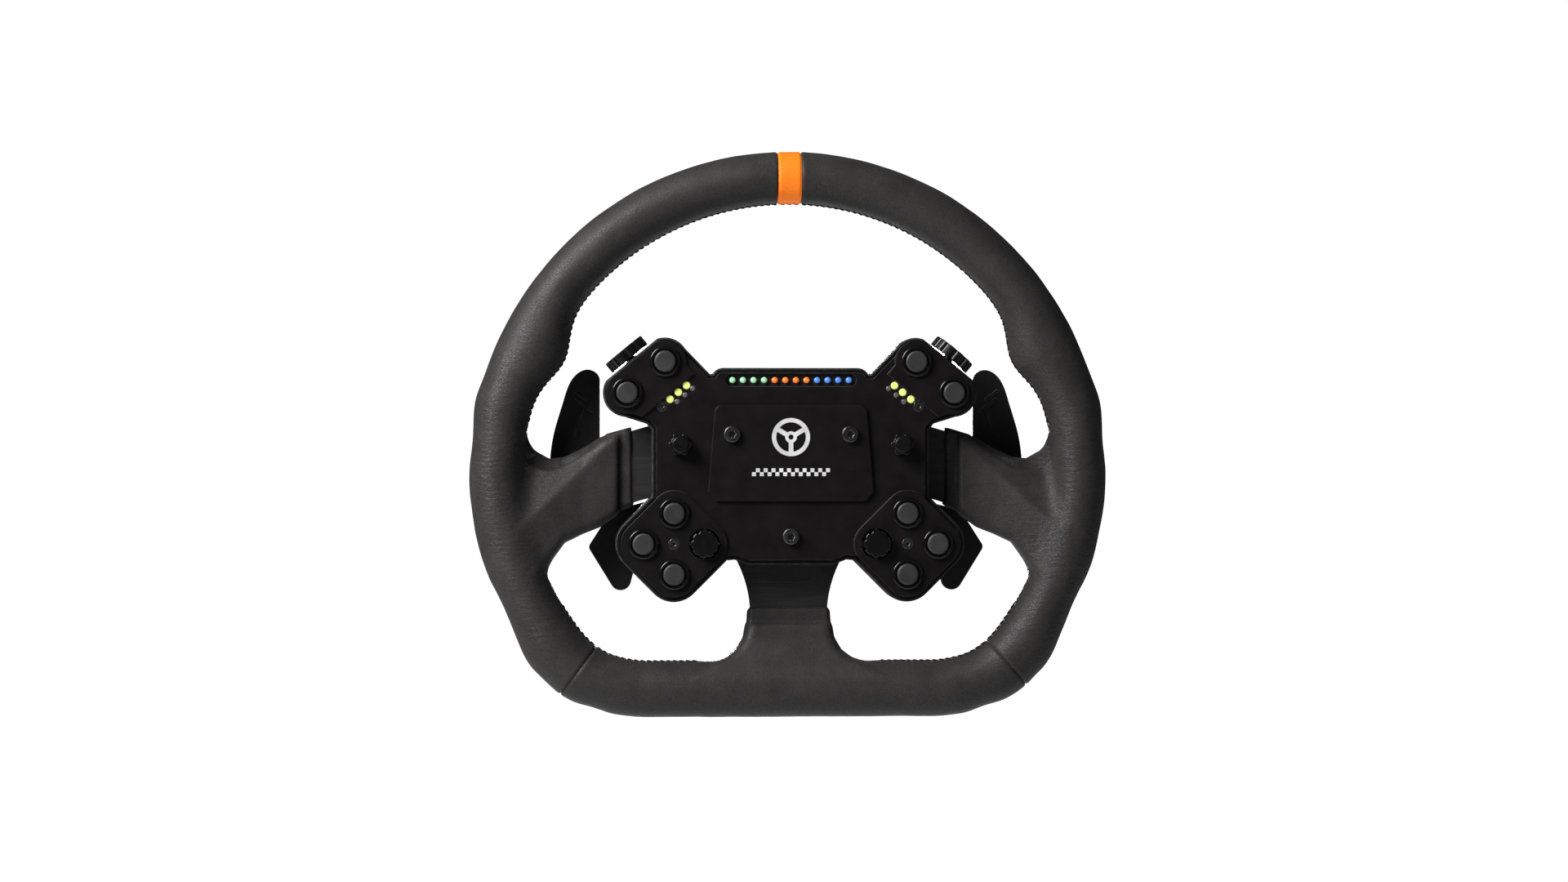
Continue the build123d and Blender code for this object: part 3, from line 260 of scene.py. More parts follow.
def get_co(mesh):
    co = np.empty(len(mesh.vertices) * 3)
    mesh.vertices.foreach_get("co", co)
    return co.reshape(-1, 3)


def set_co(mesh, co):
    mesh.vertices.foreach_set("co", np.asarray(co, float).ravel())
    mesh.update()


def baked(obj):
    """Applies the object's modifiers to its mesh."""
    dg = bpy.context.evaluated_depsgraph_get()
    dg.update()
    mesh = bpy.data.meshes.new_from_object(obj.evaluated_get(dg))
    old = obj.data
    obj.modifiers.clear()
    obj.data = mesh
    bpy.data.meshes.remove(old)
    return obj


def rings(sections, closed):
    """Vertices and faces of a tube through equal-sized rings of points. Open tubes get caps."""
    count, around = len(sections), len(sections[0])
    verts = np.concatenate(sections)
    faces = []
    for i in range(count if closed else count - 1):
        j = (i + 1) % count
        for k in range(around):
            m = (k + 1) % around
            faces.append((i * around + k, i * around + m, j * around + m, j * around + k))
    if not closed:
        faces.append(tuple(range(around))[::-1])
        faces.append(tuple(range((count - 1) * around, count * around)))
    return verts, faces


def merged(parts):
    """Several (vertices, faces) as one."""
    verts, faces, start = [], [], 0
    for v, f in parts:
        verts.append(v)
        faces += [tuple(i + start for i in face) for face in f]
        start += len(v)
    return np.concatenate(verts), faces


def tube(path, radius, around=6, ends=0.45):
    """A round thread along a short path, thinner at its two ends."""
    path = np.asarray(path, float)
    tangent = np.gradient(path, axis=0)
    tangent /= np.linalg.norm(tangent, axis=1)[:, None]
    side = np.cross(tangent, (0.31, 0.17, 0.93))
    side /= np.linalg.norm(side, axis=1)[:, None]
    up = np.cross(side, tangent)
    phi = np.linspace(0, 2 * np.pi, around, endpoint=False)
    sections = []
    for i in range(len(path)):
        r = radius * (ends if i in (0, len(path) - 1) else 1.0)
        sections.append(path[i] + r * (np.cos(phi)[:, None] * side[i] + np.sin(phi)[:, None] * up[i]))
    return rings(sections, False)


# ---------------------------------------------------------------- the rough shape of the rim
def rim_sweep():
    """Positions all the way round the rim: direction angle, run along the bottom, and side."""
    right = [(t, 0.0, 1) for t in np.linspace(270, 90, 110, endpoint=False)]
    left = [(t, 0.0, -1) for t in np.linspace(90, 270, 110, endpoint=False)]
    flat = [(270.0, r, -1) for r in np.linspace(0, 2 * CX, 60, endpoint=False)]
    return right + left + flat


def base_ring(around=28):
    phi = np.linspace(0, 2 * np.pi, around, endpoint=False)
    sections = []
    for theta, run, side in rim_sweep():
        outward, inward, depth = (v.item() for v in grip(np.array([theta])))
        u = (outward - inward) / 2 + (outward + inward) / 2 * np.cos(phi)
        w = depth * np.sin(phi)
        sections.append(rim_point(np.full(around, theta), run, u, w, side))
    return rings(sections, True)


def base_rim(around=24, slack=0.5):
    """A rough closed mesh of the grip, the three padded spoke roots and their flaps, slack mm too thin."""
    phi = np.linspace(0, 2 * np.pi, around, endpoint=False)
    ring = np.stack([np.cos(phi), np.sin(phi)], 1)
    ring = np.sign(ring) * np.abs(ring) ** 0.45
    thick = 2 * FLAP_HALF
    side_flap = [(82.2, -19.8, 20.6, thick, PLATE_F), (94.5, -24.2, 17.4, thick, PLATE_F)]
    bottom_flap = [(72.8, 42.6, thick, PLATE_F), (85.5, 44.6, thick, PLATE_F)]
    parts = [base_ring()]
    for side in (-1, 1):
        for table in (SIDE_PAD, side_flap):
            sections = []
            for x, low, top, thick, middle in table:
                z = (low + top) / 2 + ring[:, 0] * ((top - low) / 2 - slack)
                f = middle + ring[:, 1] * (thick / 2 - slack)
                sections.append(np.stack([np.full(around, side * x), f, z], 1))
            parts.append(rings(sections, False))
    for table in (BOTTOM_PAD, bottom_flap):
        sections = []
        for depth, width, thick, middle in table:
            x = ring[:, 0] * (width / 2 - slack)
            f = middle + ring[:, 1] * (thick / 2 - slack)
            sections.append(np.stack([x, f, np.full(around, -depth)], 1))
        parts.append(rings(sections, False))
    return merged(parts)


def rim_mesh(name, voxel, level):
    """The rim as one closed mesh, at this distance from the leather's outside."""
    verts, faces = base_rim()
    obj = new_object(name, to_world(verts), faces)
    bm = bmesh.new()
    bm.from_mesh(obj.data)
    bmesh.ops.recalc_face_normals(bm, faces=bm.faces)
    bm.to_mesh(obj.data)
    bm.free()
    remesh = obj.modifiers.new("remesh", "REMESH")
    remesh.mode = "VOXEL"
    remesh.voxel_size = voxel * MM
    baked(obj)
    set_co(obj.data, to_world(project(from_world(get_co(obj.data)), level)))
    return obj


# ---------------------------------------------------------------- seams
PITCH = 3.3                                # distance between stitches along the inner edge
INNER_SEAM_W = 1.6                         # how far in front of the middle plane the inner seam lies
UPPER_SEAM = (92.5, 170.5)                 # direction angles: from the marker to a side spoke
LOWER_SEAM_START = 211.0                   # where the seam comes out again under the side spoke
STRAIGHT_SEAM = 27.0                       # its length along the straight bottom, to the bottom spoke
ROLL_CROSS, DIP_CROSS = (0.08, 1.9, 1.0), (0.7, 0.0, 0.55)    # height, distance and width of the relief
ROLL_ALONG, DIP_ALONG = (0.12, 2.2, 1.0), (0.6, 0.0, 0.7)
STITCH = (
    # across the seam, along it, height above the leather
    (-1.7, -1.3, -0.3),
    (-1.2, -0.9, 0.12),
    (0, 0, 0.2),
    (1.2, 0.9, 0.12),
    (1.7, 1.3, -0.3),
)


def past_lower_seam(p):
    """Signed distance past the plane of a lower seam, towards the bottom of the wheel."""
    a = np.radians(np.where(p[:, 0] < 0, SEAM_ANGLE[-1], SEAM_ANGLE[1]))
    return (np.abs(p[:, 0]) - CX) * np.sin(a) + (p[:, 2] - CZ) * np.cos(a)


def inner_edge(theta, run, side):
    """Points on the inner edge of the grip, where its two long edges are sewn together."""
    inward = grip(theta)[1]
    return project(rim_point(theta, run, -inward, np.full(len(theta), INNER_SEAM_W), side))


def inner_lengths(side):
    """The inner seam's free lengths: from the marker to the side spoke, and on to the bottom spoke."""
    upper = np.arange(*UPPER_SEAM, 0.3)
    lower = np.arange(LOWER_SEAM_START, SEAM_ANGLE[side] - 0.6, 0.5)
    corner = np.arange(SEAM_ANGLE[side] + 0.8, 270.0, 0.8)
    straight = np.arange(0.0, STRAIGHT_SEAM, 0.8)
    theta = np.concatenate([corner, np.full(len(straight), 270.0)])
    run = np.concatenate([np.zeros(len(corner)), straight])
    return [
        inner_edge(upper, 0.0, side),
        inner_edge(lower, 0.0, side),
        inner_edge(theta, run, side),
    ]


def marker_edge():
    """The inner seam across the centre marker."""
    theta = np.arange(90.0, 92.2, 0.2)
    left, right = inner_edge(theta, 0.0, -1), inner_edge(theta, 0.0, 1)
    return np.concatenate([left[:0:-1], right])


def seam_relief(p, tree):
    """How far the leather rises beside the nearest seam or dips into it, and how far away that seam is."""
    far = 99.0
    from_marker = np.where(p[:, 2] > 0, np.abs(np.abs(p[:, 0]) - MARKER_HALF), far)
    cross = np.minimum(np.abs(past_lower_seam(p)), from_marker)
    along = np.array([tree.find(q)[2] for q in p])
    relief = np.zeros(len(p))
    for distance, roll, dip in ((cross, ROLL_CROSS, DIP_CROSS), (along, ROLL_ALONG, DIP_ALONG)):
        relief += roll[0] * hump(distance, *roll[1:]) - dip[0] * hump(distance, *dip[1:])
    return relief, np.minimum(cross, along)


def seam_tree():
    points = np.concatenate([q for side in (-1, 1) for q in inner_lengths(side)] + [marker_edge()])
    tree = KDTree(len(points))
    for i, q in enumerate(points):
        tree.insert(q, i)
    tree.balance()
    return tree


def swell(p):
    """Gentle unevenness of leather pulled over foam, in mm."""
    return np.array([0.22 * noise.noise(q / 17) + 0.07 * noise.noise(q / 5.5) for q in map(Vector, p)])


def stitches(lengths, radius=0.3):
    """Threads that cross a seam, one each PITCH along it."""
    parts = []
    for line in lengths:
        gap = np.linalg.norm(np.diff(line, axis=0), axis=1)
        at = np.concatenate([[0], np.cumsum(gap)])
        count = max(1, int(at[-1] / PITCH))
        for s in (np.arange(count) + 0.5) * at[-1] / count:
            near = [np.array([np.interp(s + d, at, line[:, i]) for i in range(3)]) for d in (-0.4, 0.0, 0.4)]
            along = (near[2] - near[0]) / np.linalg.norm(near[2] - near[0])
            out = normals_at(near[1][None])[0]
            across = np.cross(out, along)
            path = []
            for b, t, height in STITCH:
                path.append(project((near[1] + across * b + along * t)[None], 0.0, 3)[0] + out * height)
            parts.append(tube(path, radius))
    return merged(parts)


# ---------------------------------------------------------------- leather panels
def cut(bm, point, normal, near):
    """Cuts the mesh along a plane, only where near says so for a face's centre."""
    faces = [f for f in bm.faces if near(f.calc_center_median())]
    geom = set(faces)
    for f in faces:
        geom.update(f.edges)
        geom.update(f.verts)
    bmesh.ops.bisect_plane(bm, geom=list(geom), dist=1e-7, plane_co=point, plane_no=normal)


def bm_points(bm):
    return from_world(np.array([v.co[:] for v in bm.verts]))


def panel_of(c):
    """Which leather panel a face belongs to, by its centre in metres."""
    if abs(c.x) < MARKER_HALF * MM and c.z > 0:
        return "centre_marker"
    if past_lower_seam(np.array([[c.x, 0, c.z]]) / MM)[0] > 0:
        return "leather_bottom"
    return "leather_left" if c.x < 0 else "leather_right"


def cut_at_seams(bm):
    """Cuts the mesh along both sides of the marker and along the two lower seams."""
    for side in (-1, 1):
        a = math.radians(SEAM_ANGLE[side])
        cut(bm, (side * MARKER_HALF * MM, 0, 0), (1, 0, 0), lambda c: c.z > 0 and abs(c.x) < 0.02)
        lower_normal = (side * math.sin(a), 0, math.cos(a))
        cut(bm, (side * CX * MM, 0, CZ * MM), lower_normal, lambda c: c.x * side > 0.07 and c.z < CZ * MM)


def refine_at_seams(bm, tree):
    """Splits the edges near the seams, twice for the nearest."""
    for reach in (3.2, 1.7):
        bm.verts.ensure_lookup_table()
        near = seam_relief(bm_points(bm), tree)[1] < reach
        for i, v in enumerate(bm.verts):
            v.tag = bool(near[i])
        edges = [e for e in bm.edges if e.verts[0].tag and e.verts[1].tag]
        bmesh.ops.subdivide_edges(bm, edges=edges, cuts=1, use_grid_fill=True)


def closed_panel(name, bm, owner):
    """The faces that this panel owns, closed with flat caps where it meets the others."""
    part = bm.copy()
    part.faces.ensure_lookup_table()
    other = [f for i, f in enumerate(part.faces) if owner[i] != name]
    bmesh.ops.delete(part, geom=other, context="FACES")
    loops = [e for e in part.edges if e.is_boundary]
    caps = bmesh.ops.holes_fill(part, edges=loops, sides=0)["faces"]
    for f in part.faces:
        f.smooth = True
    for f in caps:
        f.smooth = False
        for e in f.edges:
            e.smooth = False
    bmesh.ops.triangulate(part, faces=caps)
    bmesh.ops.recalc_face_normals(part, faces=part.faces)
    mesh = bpy.data.meshes.new(name + "_panel")
    part.to_mesh(mesh)
    part.free()
    return linked(name + "_panel", mesh)


def leather_panels(sunk=0.1):
    """The leather in four closed pieces that meet in sunken seams, sunk mm inside its plain surface."""
    rough = rim_mesh("leather_rough", 1.5, 0.0)
    bm = bmesh.new()
    bm.from_mesh(rough.data)
    bpy.data.objects.remove(rough)
    cut_at_seams(bm)
    tree = seam_tree()
    refine_at_seams(bm, tree)
    p = project(bm_points(bm), 0.0, 4)
    p = p + normals_at(p) * (seam_relief(p, tree)[0] + swell(p) - sunk)[:, None]
    for v, q in zip(bm.verts, to_world(p)):
        v.co = q
    owner = {f.index: panel_of(f.calc_center_median()) for f in bm.faces}
    names = ("leather_left", "leather_right", "leather_bottom", "centre_marker")
    pieces = {name: closed_panel(name, bm, owner) for name in names}
    bm.free()
    return pieces


# ---------------------------------------------------------------- materials
class Look:
    """One procedural material: a Principled shader with helpers that add nodes to it."""

    def __init__(self, name, **sockets):
        self.material = bpy.data.materials.new(name)
        self.material.use_nodes = True
        self.tree = self.material.node_tree
        self.shader = self.tree.nodes["Principled BSDF"]
        for socket, value in sockets.items():
            self.shader.inputs[socket.replace("_", " ")].default_value = value
        self.place = self.add("ShaderNodeTexCoord").outputs["Object"]
        self.normal = None

    def add(self, kind, links=None, **settings):
        node = self.tree.nodes.new(kind)
        for key, value in settings.items():
            setattr(node, key, value)
        for socket, value in (links or {}).items():
            if isinstance(value, bpy.types.NodeSocket):
                self.tree.links.new(value, node.inputs[socket])
            else:
                node.inputs[socket].default_value = value
        return node

    def stretched(self, sx, sy, sz):
        """Object coordinates in mm, scaled along each axis."""
        scale = (1000 * sx, 1000 * sy, 1000 * sz)
        return self.add("ShaderNodeMapping", {"Vector": self.place, "Scale": scale}).outputs["Vector"]

    def noise(self, size, detail=3.0, rough=0.55, stretch=(1, 1, 1)):
        """Noise with features of about this size in mm."""
        at = self.stretched(stretch[0] / size, stretch[1] / size, stretch[2] / size)
        links = {"Vector": at, "Scale": 1.0, "Detail": detail, "Roughness": rough}
        return self.add("ShaderNodeTexNoise", links).outputs["Fac"]

    def cells(self, size, feature="DISTANCE_TO_EDGE", stretch=(1, 1, 1)):
        at = self.stretched(stretch[0] / size, stretch[1] / size, stretch[2] / size)
        node = self.add("ShaderNodeTexVoronoi", {"Vector": at, "Scale": 1.0}, feature=feature)
        return node.outputs["Distance"]

    def range(self, value, low, high, to_low=0.0, to_high=1.0, smooth=False):
        kind = "SMOOTHSTEP" if smooth else "LINEAR"
        links = {"Value": value, "From Min": low, "From Max": high, "To Min": to_low, "To Max": to_high}
        return self.add("ShaderNodeMapRange", links, interpolation_type=kind).outputs["Result"]

    def math(self, operation, a, b=0.0):
        return self.add("ShaderNodeMath", {0: a, 1: b}, operation=operation).outputs["Value"]

    def mix(self, factor, a, b):
        """A colour between a and b."""
        return self.add("ShaderNodeMix", {0: factor, 6: a, 7: b}, data_type="RGBA").outputs[2]

    def colour(self, socket):
        self.tree.links.new(socket, self.shader.inputs["Base Color"])

    def roughness(self, socket):
        self.tree.links.new(socket, self.shader.inputs["Roughness"])

    def bump(self, height, depth):
        """Raises the surface by height times depth, in mm, on top of the bumps made before."""
        links = {"Height": height, "Distance": depth * MM, "Strength": 1.0}
        if self.normal:
            links["Normal"] = self.normal
        self.normal = self.add("ShaderNodeBump", links).outputs["Normal"]
        self.tree.links.new(self.normal, self.shader.inputs["Normal"])

    def rounded(self, radius):
        """Rounds the edges in shading, and gives a mask that is 1 on them."""
        bevel = self.add("ShaderNodeBevel", {"Radius": radius * MM}, samples=6)
        flat = self.add("ShaderNodeNewGeometry").outputs["Normal"]
        dot = self.add("ShaderNodeVectorMath", {0: bevel.outputs["Normal"], 1: flat}, operation="DOT_PRODUCT")
        self.normal = bevel.outputs["Normal"]
        self.tree.links.new(self.normal, self.shader.inputs["Normal"])
        return self.range(dot.outputs["Value"], 0.995, 0.86)


def grey(v, tint=(1, 1, 1)):
    return (v * tint[0], v * tint[1], v * tint[2], 1.0)


def scaled(colour, factor, more=0.0):
    """The colour made paler or darker, up to white."""
    return tuple(min(1.0, c * factor + more) for c in colour[:3]) + (1.0,)


def leather_look(name, dark, light, crease_shade, sheen, glow=0.0):
    """Grained leather: fine creases round small raised cells, drawn out across the wheel, and soft folds."""
    # glow is painted light: the leather emits its own light colour, which makes the marker brighter than its
    # colour alone
    look = Look(name, Specular_IOR_Level=0.3, Sheen_Weight=sheen, Sheen_Roughness=0.45, Emission_Color=light,
                Emission_Strength=glow)
    grain = look.cells(1.15, stretch=(0.62, 1, 1.25))
    fine = look.noise(0.45, 2.0)
    patches = look.noise(14, 4.0, 0.6)
    body = look.mix(look.range(patches, 0.35, 0.68), dark, light)
    creased = look.range(grain, 0.0, 0.16, smooth=True)
    # painted shade: the grain's creases are mixed towards the darker crease colour
    look.colour(look.mix(look.range(creased, 0.0, 1.0, 0.55, 0.0), body, crease_shade))
    polish = look.math("ADD", patches, look.math("MULTIPLY", creased, -0.35))
    look.roughness(look.range(polish, 0.1, 0.75, 0.42, 0.66))
    at = look.add("ShaderNodeSeparateXYZ", {"Vector": look.place}).outputs
    beside = look.range(look.math("ABSOLUTE", at["X"]), 0.09, 0.14, 0.2, 1.0, smooth=True)
    below = look.range(at["Z"], 0.09, 0.02, 0.2, 1.0, smooth=True)
    strands = look.noise(2.6, 3.0, 0.6, stretch=(0.3, 0.8, 1.6))
    look.bump(look.math("MULTIPLY", strands, look.math("MULTIPLY", beside, below)), 0.6)
    look.bump(look.noise(11, 3.0), 0.25)
    look.bump(creased, 0.05)
    look.bump(fine, 0.03)
    return look.material


def moulded_look(name, base, highlight_colour, rough, texture=0.5, depth=0.02, radius=0.35, highlight_strength=0.5, **sockets):
    """Moulded or painted surface: faint spark texture, soft mottling, and smoother edges that carry a patchy
    painted highlight.
    """
    look = Look(name, **sockets)
    edges = look.rounded(radius)
    mottle = look.noise(9, 4.0, 0.6)
    body = look.mix(look.range(mottle, 0.3, 0.7), scaled(base, 0.8), scaled(base, 1.22))
    # painted highlight: the edge mask, broken up by noise, mixes the edges towards a paler colour
    patchy_highlight = look.math("MULTIPLY", edges, look.range(look.noise(3.5, 3.0), 0.3, 0.62, highlight_strength * 0.35, highlight_strength))
    look.colour(look.mix(patchy_highlight, body, highlight_colour))
    speck = look.noise(texture, 2.0, 0.5)
    fine = look.math("ADD", look.math("MULTIPLY", mottle, 0.6), look.math("MULTIPLY", speck, 0.4))
    look.roughness(look.range(fine, 0.3, 0.7, rough - 0.07, rough + 0.09))
    look.bump(speck, depth)
    return look.material


def metal_look(name, base, highlight_colour, rough, stretch, depth=0.012, radius=0.25, highlight_strength=0.6, **sockets):
    """Machined metal: fine lines along one axis, with a painted highlight on its edges."""
    look = Look(name, **sockets)
    edges = look.rounded(radius)
    lines = look.noise(1.0, 3.0, 0.6, stretch=stretch)
    cloud = look.noise(16, 3.0, 0.5)
    body = look.mix(look.range(lines, 0.3, 0.7), scaled(base, 0.82), scaled(base, 1.2))
    # painted highlight: the edges are mixed towards a paler colour
    look.colour(look.mix(look.math("MULTIPLY", edges, highlight_strength), body, highlight_colour))
    mixed = look.math("ADD", look.math("MULTIPLY", lines, 0.5), look.math("MULTIPLY", cloud, 0.5))
    look.roughness(look.range(mixed, 0.3, 0.7, rough - 0.08, rough + 0.1))
    look.bump(lines, depth)
    return look.material


def plate_look():
    """Satin black plate, ground along the spokes, with faint steps across it."""
    look = Look("frame_plate", Metallic=0.35, Specular_IOR_Level=0.5)
    edges = look.rounded(0.25)
    lines = look.noise(1.0, 3.0, 0.6, stretch=(0.05, 1, 1.6))
    steps = look.noise(1.0, 0.0, 0.5, stretch=(0.012, 0.02, 0.11))
    level = look.math("SNAP", look.math("MULTIPLY", steps, 14.0), 1.0)
    shade = look.math("FRACT", look.math("MULTIPLY", level, 0.37))
    body = look.mix(shade, grey(0.022, (1.0, 0.94, 0.95)), grey(0.034, (1.0, 0.92, 0.94)))
    # painted highlight: the edges are mixed half-way to a pale grey
    look.colour(look.mix(look.math("MULTIPLY", edges, 0.5), body, grey(0.28)))
    look.roughness(look.range(lines, 0.3, 0.7, 0.42, 0.58))
    look.bump(level, 0.12)
    look.bump(lines, 0.02)
    return look.material


def composite_look():
    """Black composite paddle with a fine weave under a thin clear coat."""
    look = Look("paddle_composite", Specular_IOR_Level=0.35, Coat_Weight=0.1, Coat_Roughness=0.3)
    edges = look.rounded(0.3)
    waves = {"Vector": look.stretched(1, 1, 1), "Scale": 1.1, "Distortion": 0.2}
    weave = look.add("ShaderNodeTexWave", waves, bands_direction="X")
    cross = look.add("ShaderNodeTexWave", waves, bands_direction="Z")
    cloth = look.math("MULTIPLY", weave.outputs["Fac"], cross.outputs["Fac"])
    body = look.mix(cloth, grey(0.006), grey(0.014))
    # painted highlight: the edges and ribs are mixed towards a pale grey
    look.colour(look.mix(look.math("MULTIPLY", edges, 0.7), body, grey(0.2)))
    look.roughness(look.range(look.noise(5, 3.0), 0.3, 0.7, 0.36, 0.52))
    look.bump(cloth, 0.02)
    look.bump(look.noise(9, 3.0), 0.05)
    return look.material


def lens_look(name, colour, glow):
    """A moulded LED lens: tinted, slightly milky, with a faint glow and ripples inside."""
    look = Look(name, Specular_IOR_Level=0.6, Coat_Weight=0.6, Coat_Roughness=0.08, Emission_Color=colour,
                Emission_Strength=glow)
    edges = look.rounded(0.3)
    milk = look.noise(1.6, 3.0)
    body = look.mix(look.range(milk, 0.3, 0.7), colour, scaled(colour, 1.15, 0.04))
    # painted highlight: the lens edges are mixed slightly towards near-white
    look.colour(look.mix(look.math("MULTIPLY", edges, 0.12), body, grey(0.9)))
    look.roughness(look.range(milk, 0.3, 0.7, 0.16, 0.32))
    look.bump(look.cells(0.9, "F1"), 0.05)
    return look.material


def board_look(name, low, high, track):
    """Circuit board: solder mask with copper tracks under it."""
    look = Look(name, Specular_IOR_Level=0.5)
    look.rounded(0.1)
    sizes = {"Scale": 1.0, "Mortar Size": 0.04, "Brick Width": 1.4, "Row Height": 0.25}
    tracks = look.add("ShaderNodeTexBrick", {"Vector": look.stretched(0.11, 0.11, 0.11), **sizes})
    line = tracks.outputs["Fac"]
    patch = look.mix(look.noise(6, 3.0), low, high)
    look.colour(look.mix(look.math("MULTIPLY", line, 0.6), patch, track))
    look.roughness(look.range(look.noise(1.2, 2.0), 0.3, 0.7, 0.3, 0.45))
    look.bump(line, 0.035)
    return look.material


def cell_look():
    """Battery cell: a shrink-wrapped sleeve with a paler band at one end."""
    look = Look("cell_sleeve", Specular_IOR_Level=0.55, Coat_Weight=0.3)
    look.rounded(0.3)
    separate = look.add("ShaderNodeSeparateXYZ", {"Vector": look.place})
    band = look.range(separate.outputs["X"], 0.0125, 0.0135)
    wrinkle = look.noise(1.6, 3.0, 0.5, stretch=(0.3, 1, 1))
    sleeve = look.mix(look.noise(8, 3.0), (0.01, 0.045, 0.12, 1), (0.015, 0.065, 0.16, 1))
    look.colour(look.mix(band, sleeve, (0.42, 0.42, 0.4, 1)))
    look.roughness(look.range(wrinkle, 0.3, 0.7, 0.22, 0.42))
    look.bump(wrinkle, 0.04)
    return look.material


def foam_look():
    """Dark moulded foam with open pores."""
    look = Look("foam_cells", Specular_IOR_Level=0.2)
    pores = look.cells(0.9, "F1")
    body = look.mix(look.noise(5, 4.0), grey(0.05), grey(0.085))
    # painted shade: the pores' centres are darkened, as shade inside the holes
    look.colour(look.mix(look.range(pores, 0.1, 0.55, 0.7, 0.0), body, grey(0.02)))
    look.roughness(look.range(pores, 0.1, 0.6, 0.95, 0.8))
    look.bump(pores, 0.25)
    return look.material


def thread_look(name, dark, light):
    """Twisted thread."""
    look = Look(name, Specular_IOR_Level=0.25)
    twist = look.noise(0.5, 2.0, 0.5, stretch=(1, 0.4, 1))
    look.colour(look.mix(look.range(twist, 0.3, 0.7), dark, light))
    look.roughness(look.range(twist, 0.3, 0.7, 0.55, 0.75))
    look.bump(twist, 0.08)
    return look.material


ALL_WAYS, ALONG_X, ALONG_Z = (1, 1, 1), (0.05, 1, 1), (1, 1, 0.08)    # which way a metal's fine lines run
STEEL = (0.56, 0.56, 0.57, 1.0)
WARM = (1.0, 0.93, 0.91)
MASK_GREEN, MASK_PALE = (0.004, 0.035, 0.012, 1), (0.008, 0.06, 0.02, 1)
TRACK_GREEN = (0.03, 0.13, 0.03, 1)
# In the moulded_look and metal_look calls, the second colour and the last number before any named sockets are
# the painted edge highlight's colour and strength.
LOOKS = {
    "frame_metal": plate_look(),
    "foam": foam_look(),
    "leather": leather_look("leather_grain", grey(0.034, WARM), grey(0.046, WARM), grey(0.016), 0.03),
    # the marker leather's last number is a painted glow
    "marker_leather": leather_look("marker_grain", (1.0, 0.19, 0.008, 1), (1.0, 0.24, 0.012, 1),
                                   (0.85, 0.13, 0.005, 1), 0.0, 0.36),
    "front_plastic": moulded_look("front_panel", grey(0.0042, (1.2, 0.96, 0.98)), grey(0.14), 0.46, 0.4,
                                  0.012, 0.35, 0.9, Specular_IOR_Level=0.22),
    "housing_plastic": moulded_look("housing", grey(0.0035), grey(0.18), 0.46, 0.5, 0.02, 0.4, 0.9,
                                    Specular_IOR_Level=0.22),
    "badge_print": moulded_look("badge_ink", grey(0.78), grey(0.85), 0.4, 0.3, 0.01, 0.05, 0.2),
    "black_steel": metal_look("blackened_steel", grey(0.11), grey(0.6), 0.34, ALL_WAYS, 0.015, 0.2, 0.7,
                              Metallic=1.0),
    "board": board_look("board_mask", MASK_GREEN, MASK_PALE, TRACK_GREEN),
    "strip_board": board_look("strip_mask", grey(0.006), grey(0.010), grey(0.02)),
    "led_green": lens_look("lens_green", (0.36, 0.72, 0.42, 1), 0.25),
    "led_orange": lens_look("lens_orange", (0.95, 0.19, 0.02, 1), 0.35),
    "led_blue": lens_look("lens_blue", (0.09, 0.26, 0.85, 1), 0.25),
    "led_yellow": lens_look("lens_yellow", (0.72, 0.85, 0.22, 1), 0.3),
    "led_clear": lens_look("lens_clear", (0.10, 0.10, 0.095, 1), 0.02),
    "switch_plastic": moulded_look("switch_body", grey(0.02), grey(0.08), 0.45, 0.6, 0.02, 0.2, 0.4),
    "encoder_metal": metal_look("encoder_case", grey(0.5), grey(0.8), 0.32, ALL_WAYS, 0.01, 0.15, 0.5,
                                Metallic=1.0),
    "cell": cell_look(),
    "bezel_plastic": moulded_look("bezel_gloss", grey(0.0035), grey(0.06), 0.16, 0.6, 0.004, 0.2, 0.1,
                                  Specular_IOR_Level=0.45, Coat_Weight=0.2, Coat_Roughness=0.1),
    "cap_plastic": moulded_look("cap_plastic", grey(0.036, (1, 0.98, 0.98)), grey(0.14), 0.42, 0.35, 0.012,
                                0.5, 0.4),
    "knob_plastic": moulded_look("knob_plastic", grey(0.0045), grey(0.10), 0.24, 0.4, 0.008, 0.25, 0.35),
    "hub_aluminium": metal_look("hub_anodised", grey(0.05), grey(0.5), 0.38, ALONG_X, 0.012, 0.3, 0.7,
                                Metallic=0.9),
    "pin_steel": metal_look("ground_steel", STEEL, grey(0.8), 0.24, ALONG_Z, 0.006, 0.15, 0.6, Metallic=1.0),
    "magnet": metal_look("nickel_plate", (0.6, 0.58, 0.54, 1), grey(0.85), 0.22, ALL_WAYS, 0.008, 0.15, 0.6,
                         Metallic=1.0),
    "arm_aluminium": metal_look("arm_anodised", grey(0.04), grey(0.4), 0.4, ALONG_X, 0.012, 0.25, 0.7,
                                Metallic=0.85),
    "paddle_plastic": composite_look(),
}
for part in frame["record"]["subparts"]:
    node = NODES[part["node"]]
    look = LOOKS[part["material_slot"]]
    if node.data.materials:
        for i in range(len(node.data.materials)):
            node.data.materials[i] = look
    else:
        node.data.materials.append(look)

# ---------------------------------------------------------------- leather, foam and thread
FOAM_VOXEL, LEATHER_THICKNESS = 2.6, 1.6
foam = rim_mesh("foam_core", FOAM_VOXEL, -LEATHER_THICKNESS)
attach(foam, "wheel")
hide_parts("rim_foam")
foam.data.materials.append(LOOKS["foam"])

for node_name, panel in leather_panels().items():
    slot_name = "marker_leather" if node_name == "centre_marker" else "leather"
    panel.data.materials.append(LOOKS[slot_name])
    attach(panel, "wheel")
    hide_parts(node_name)

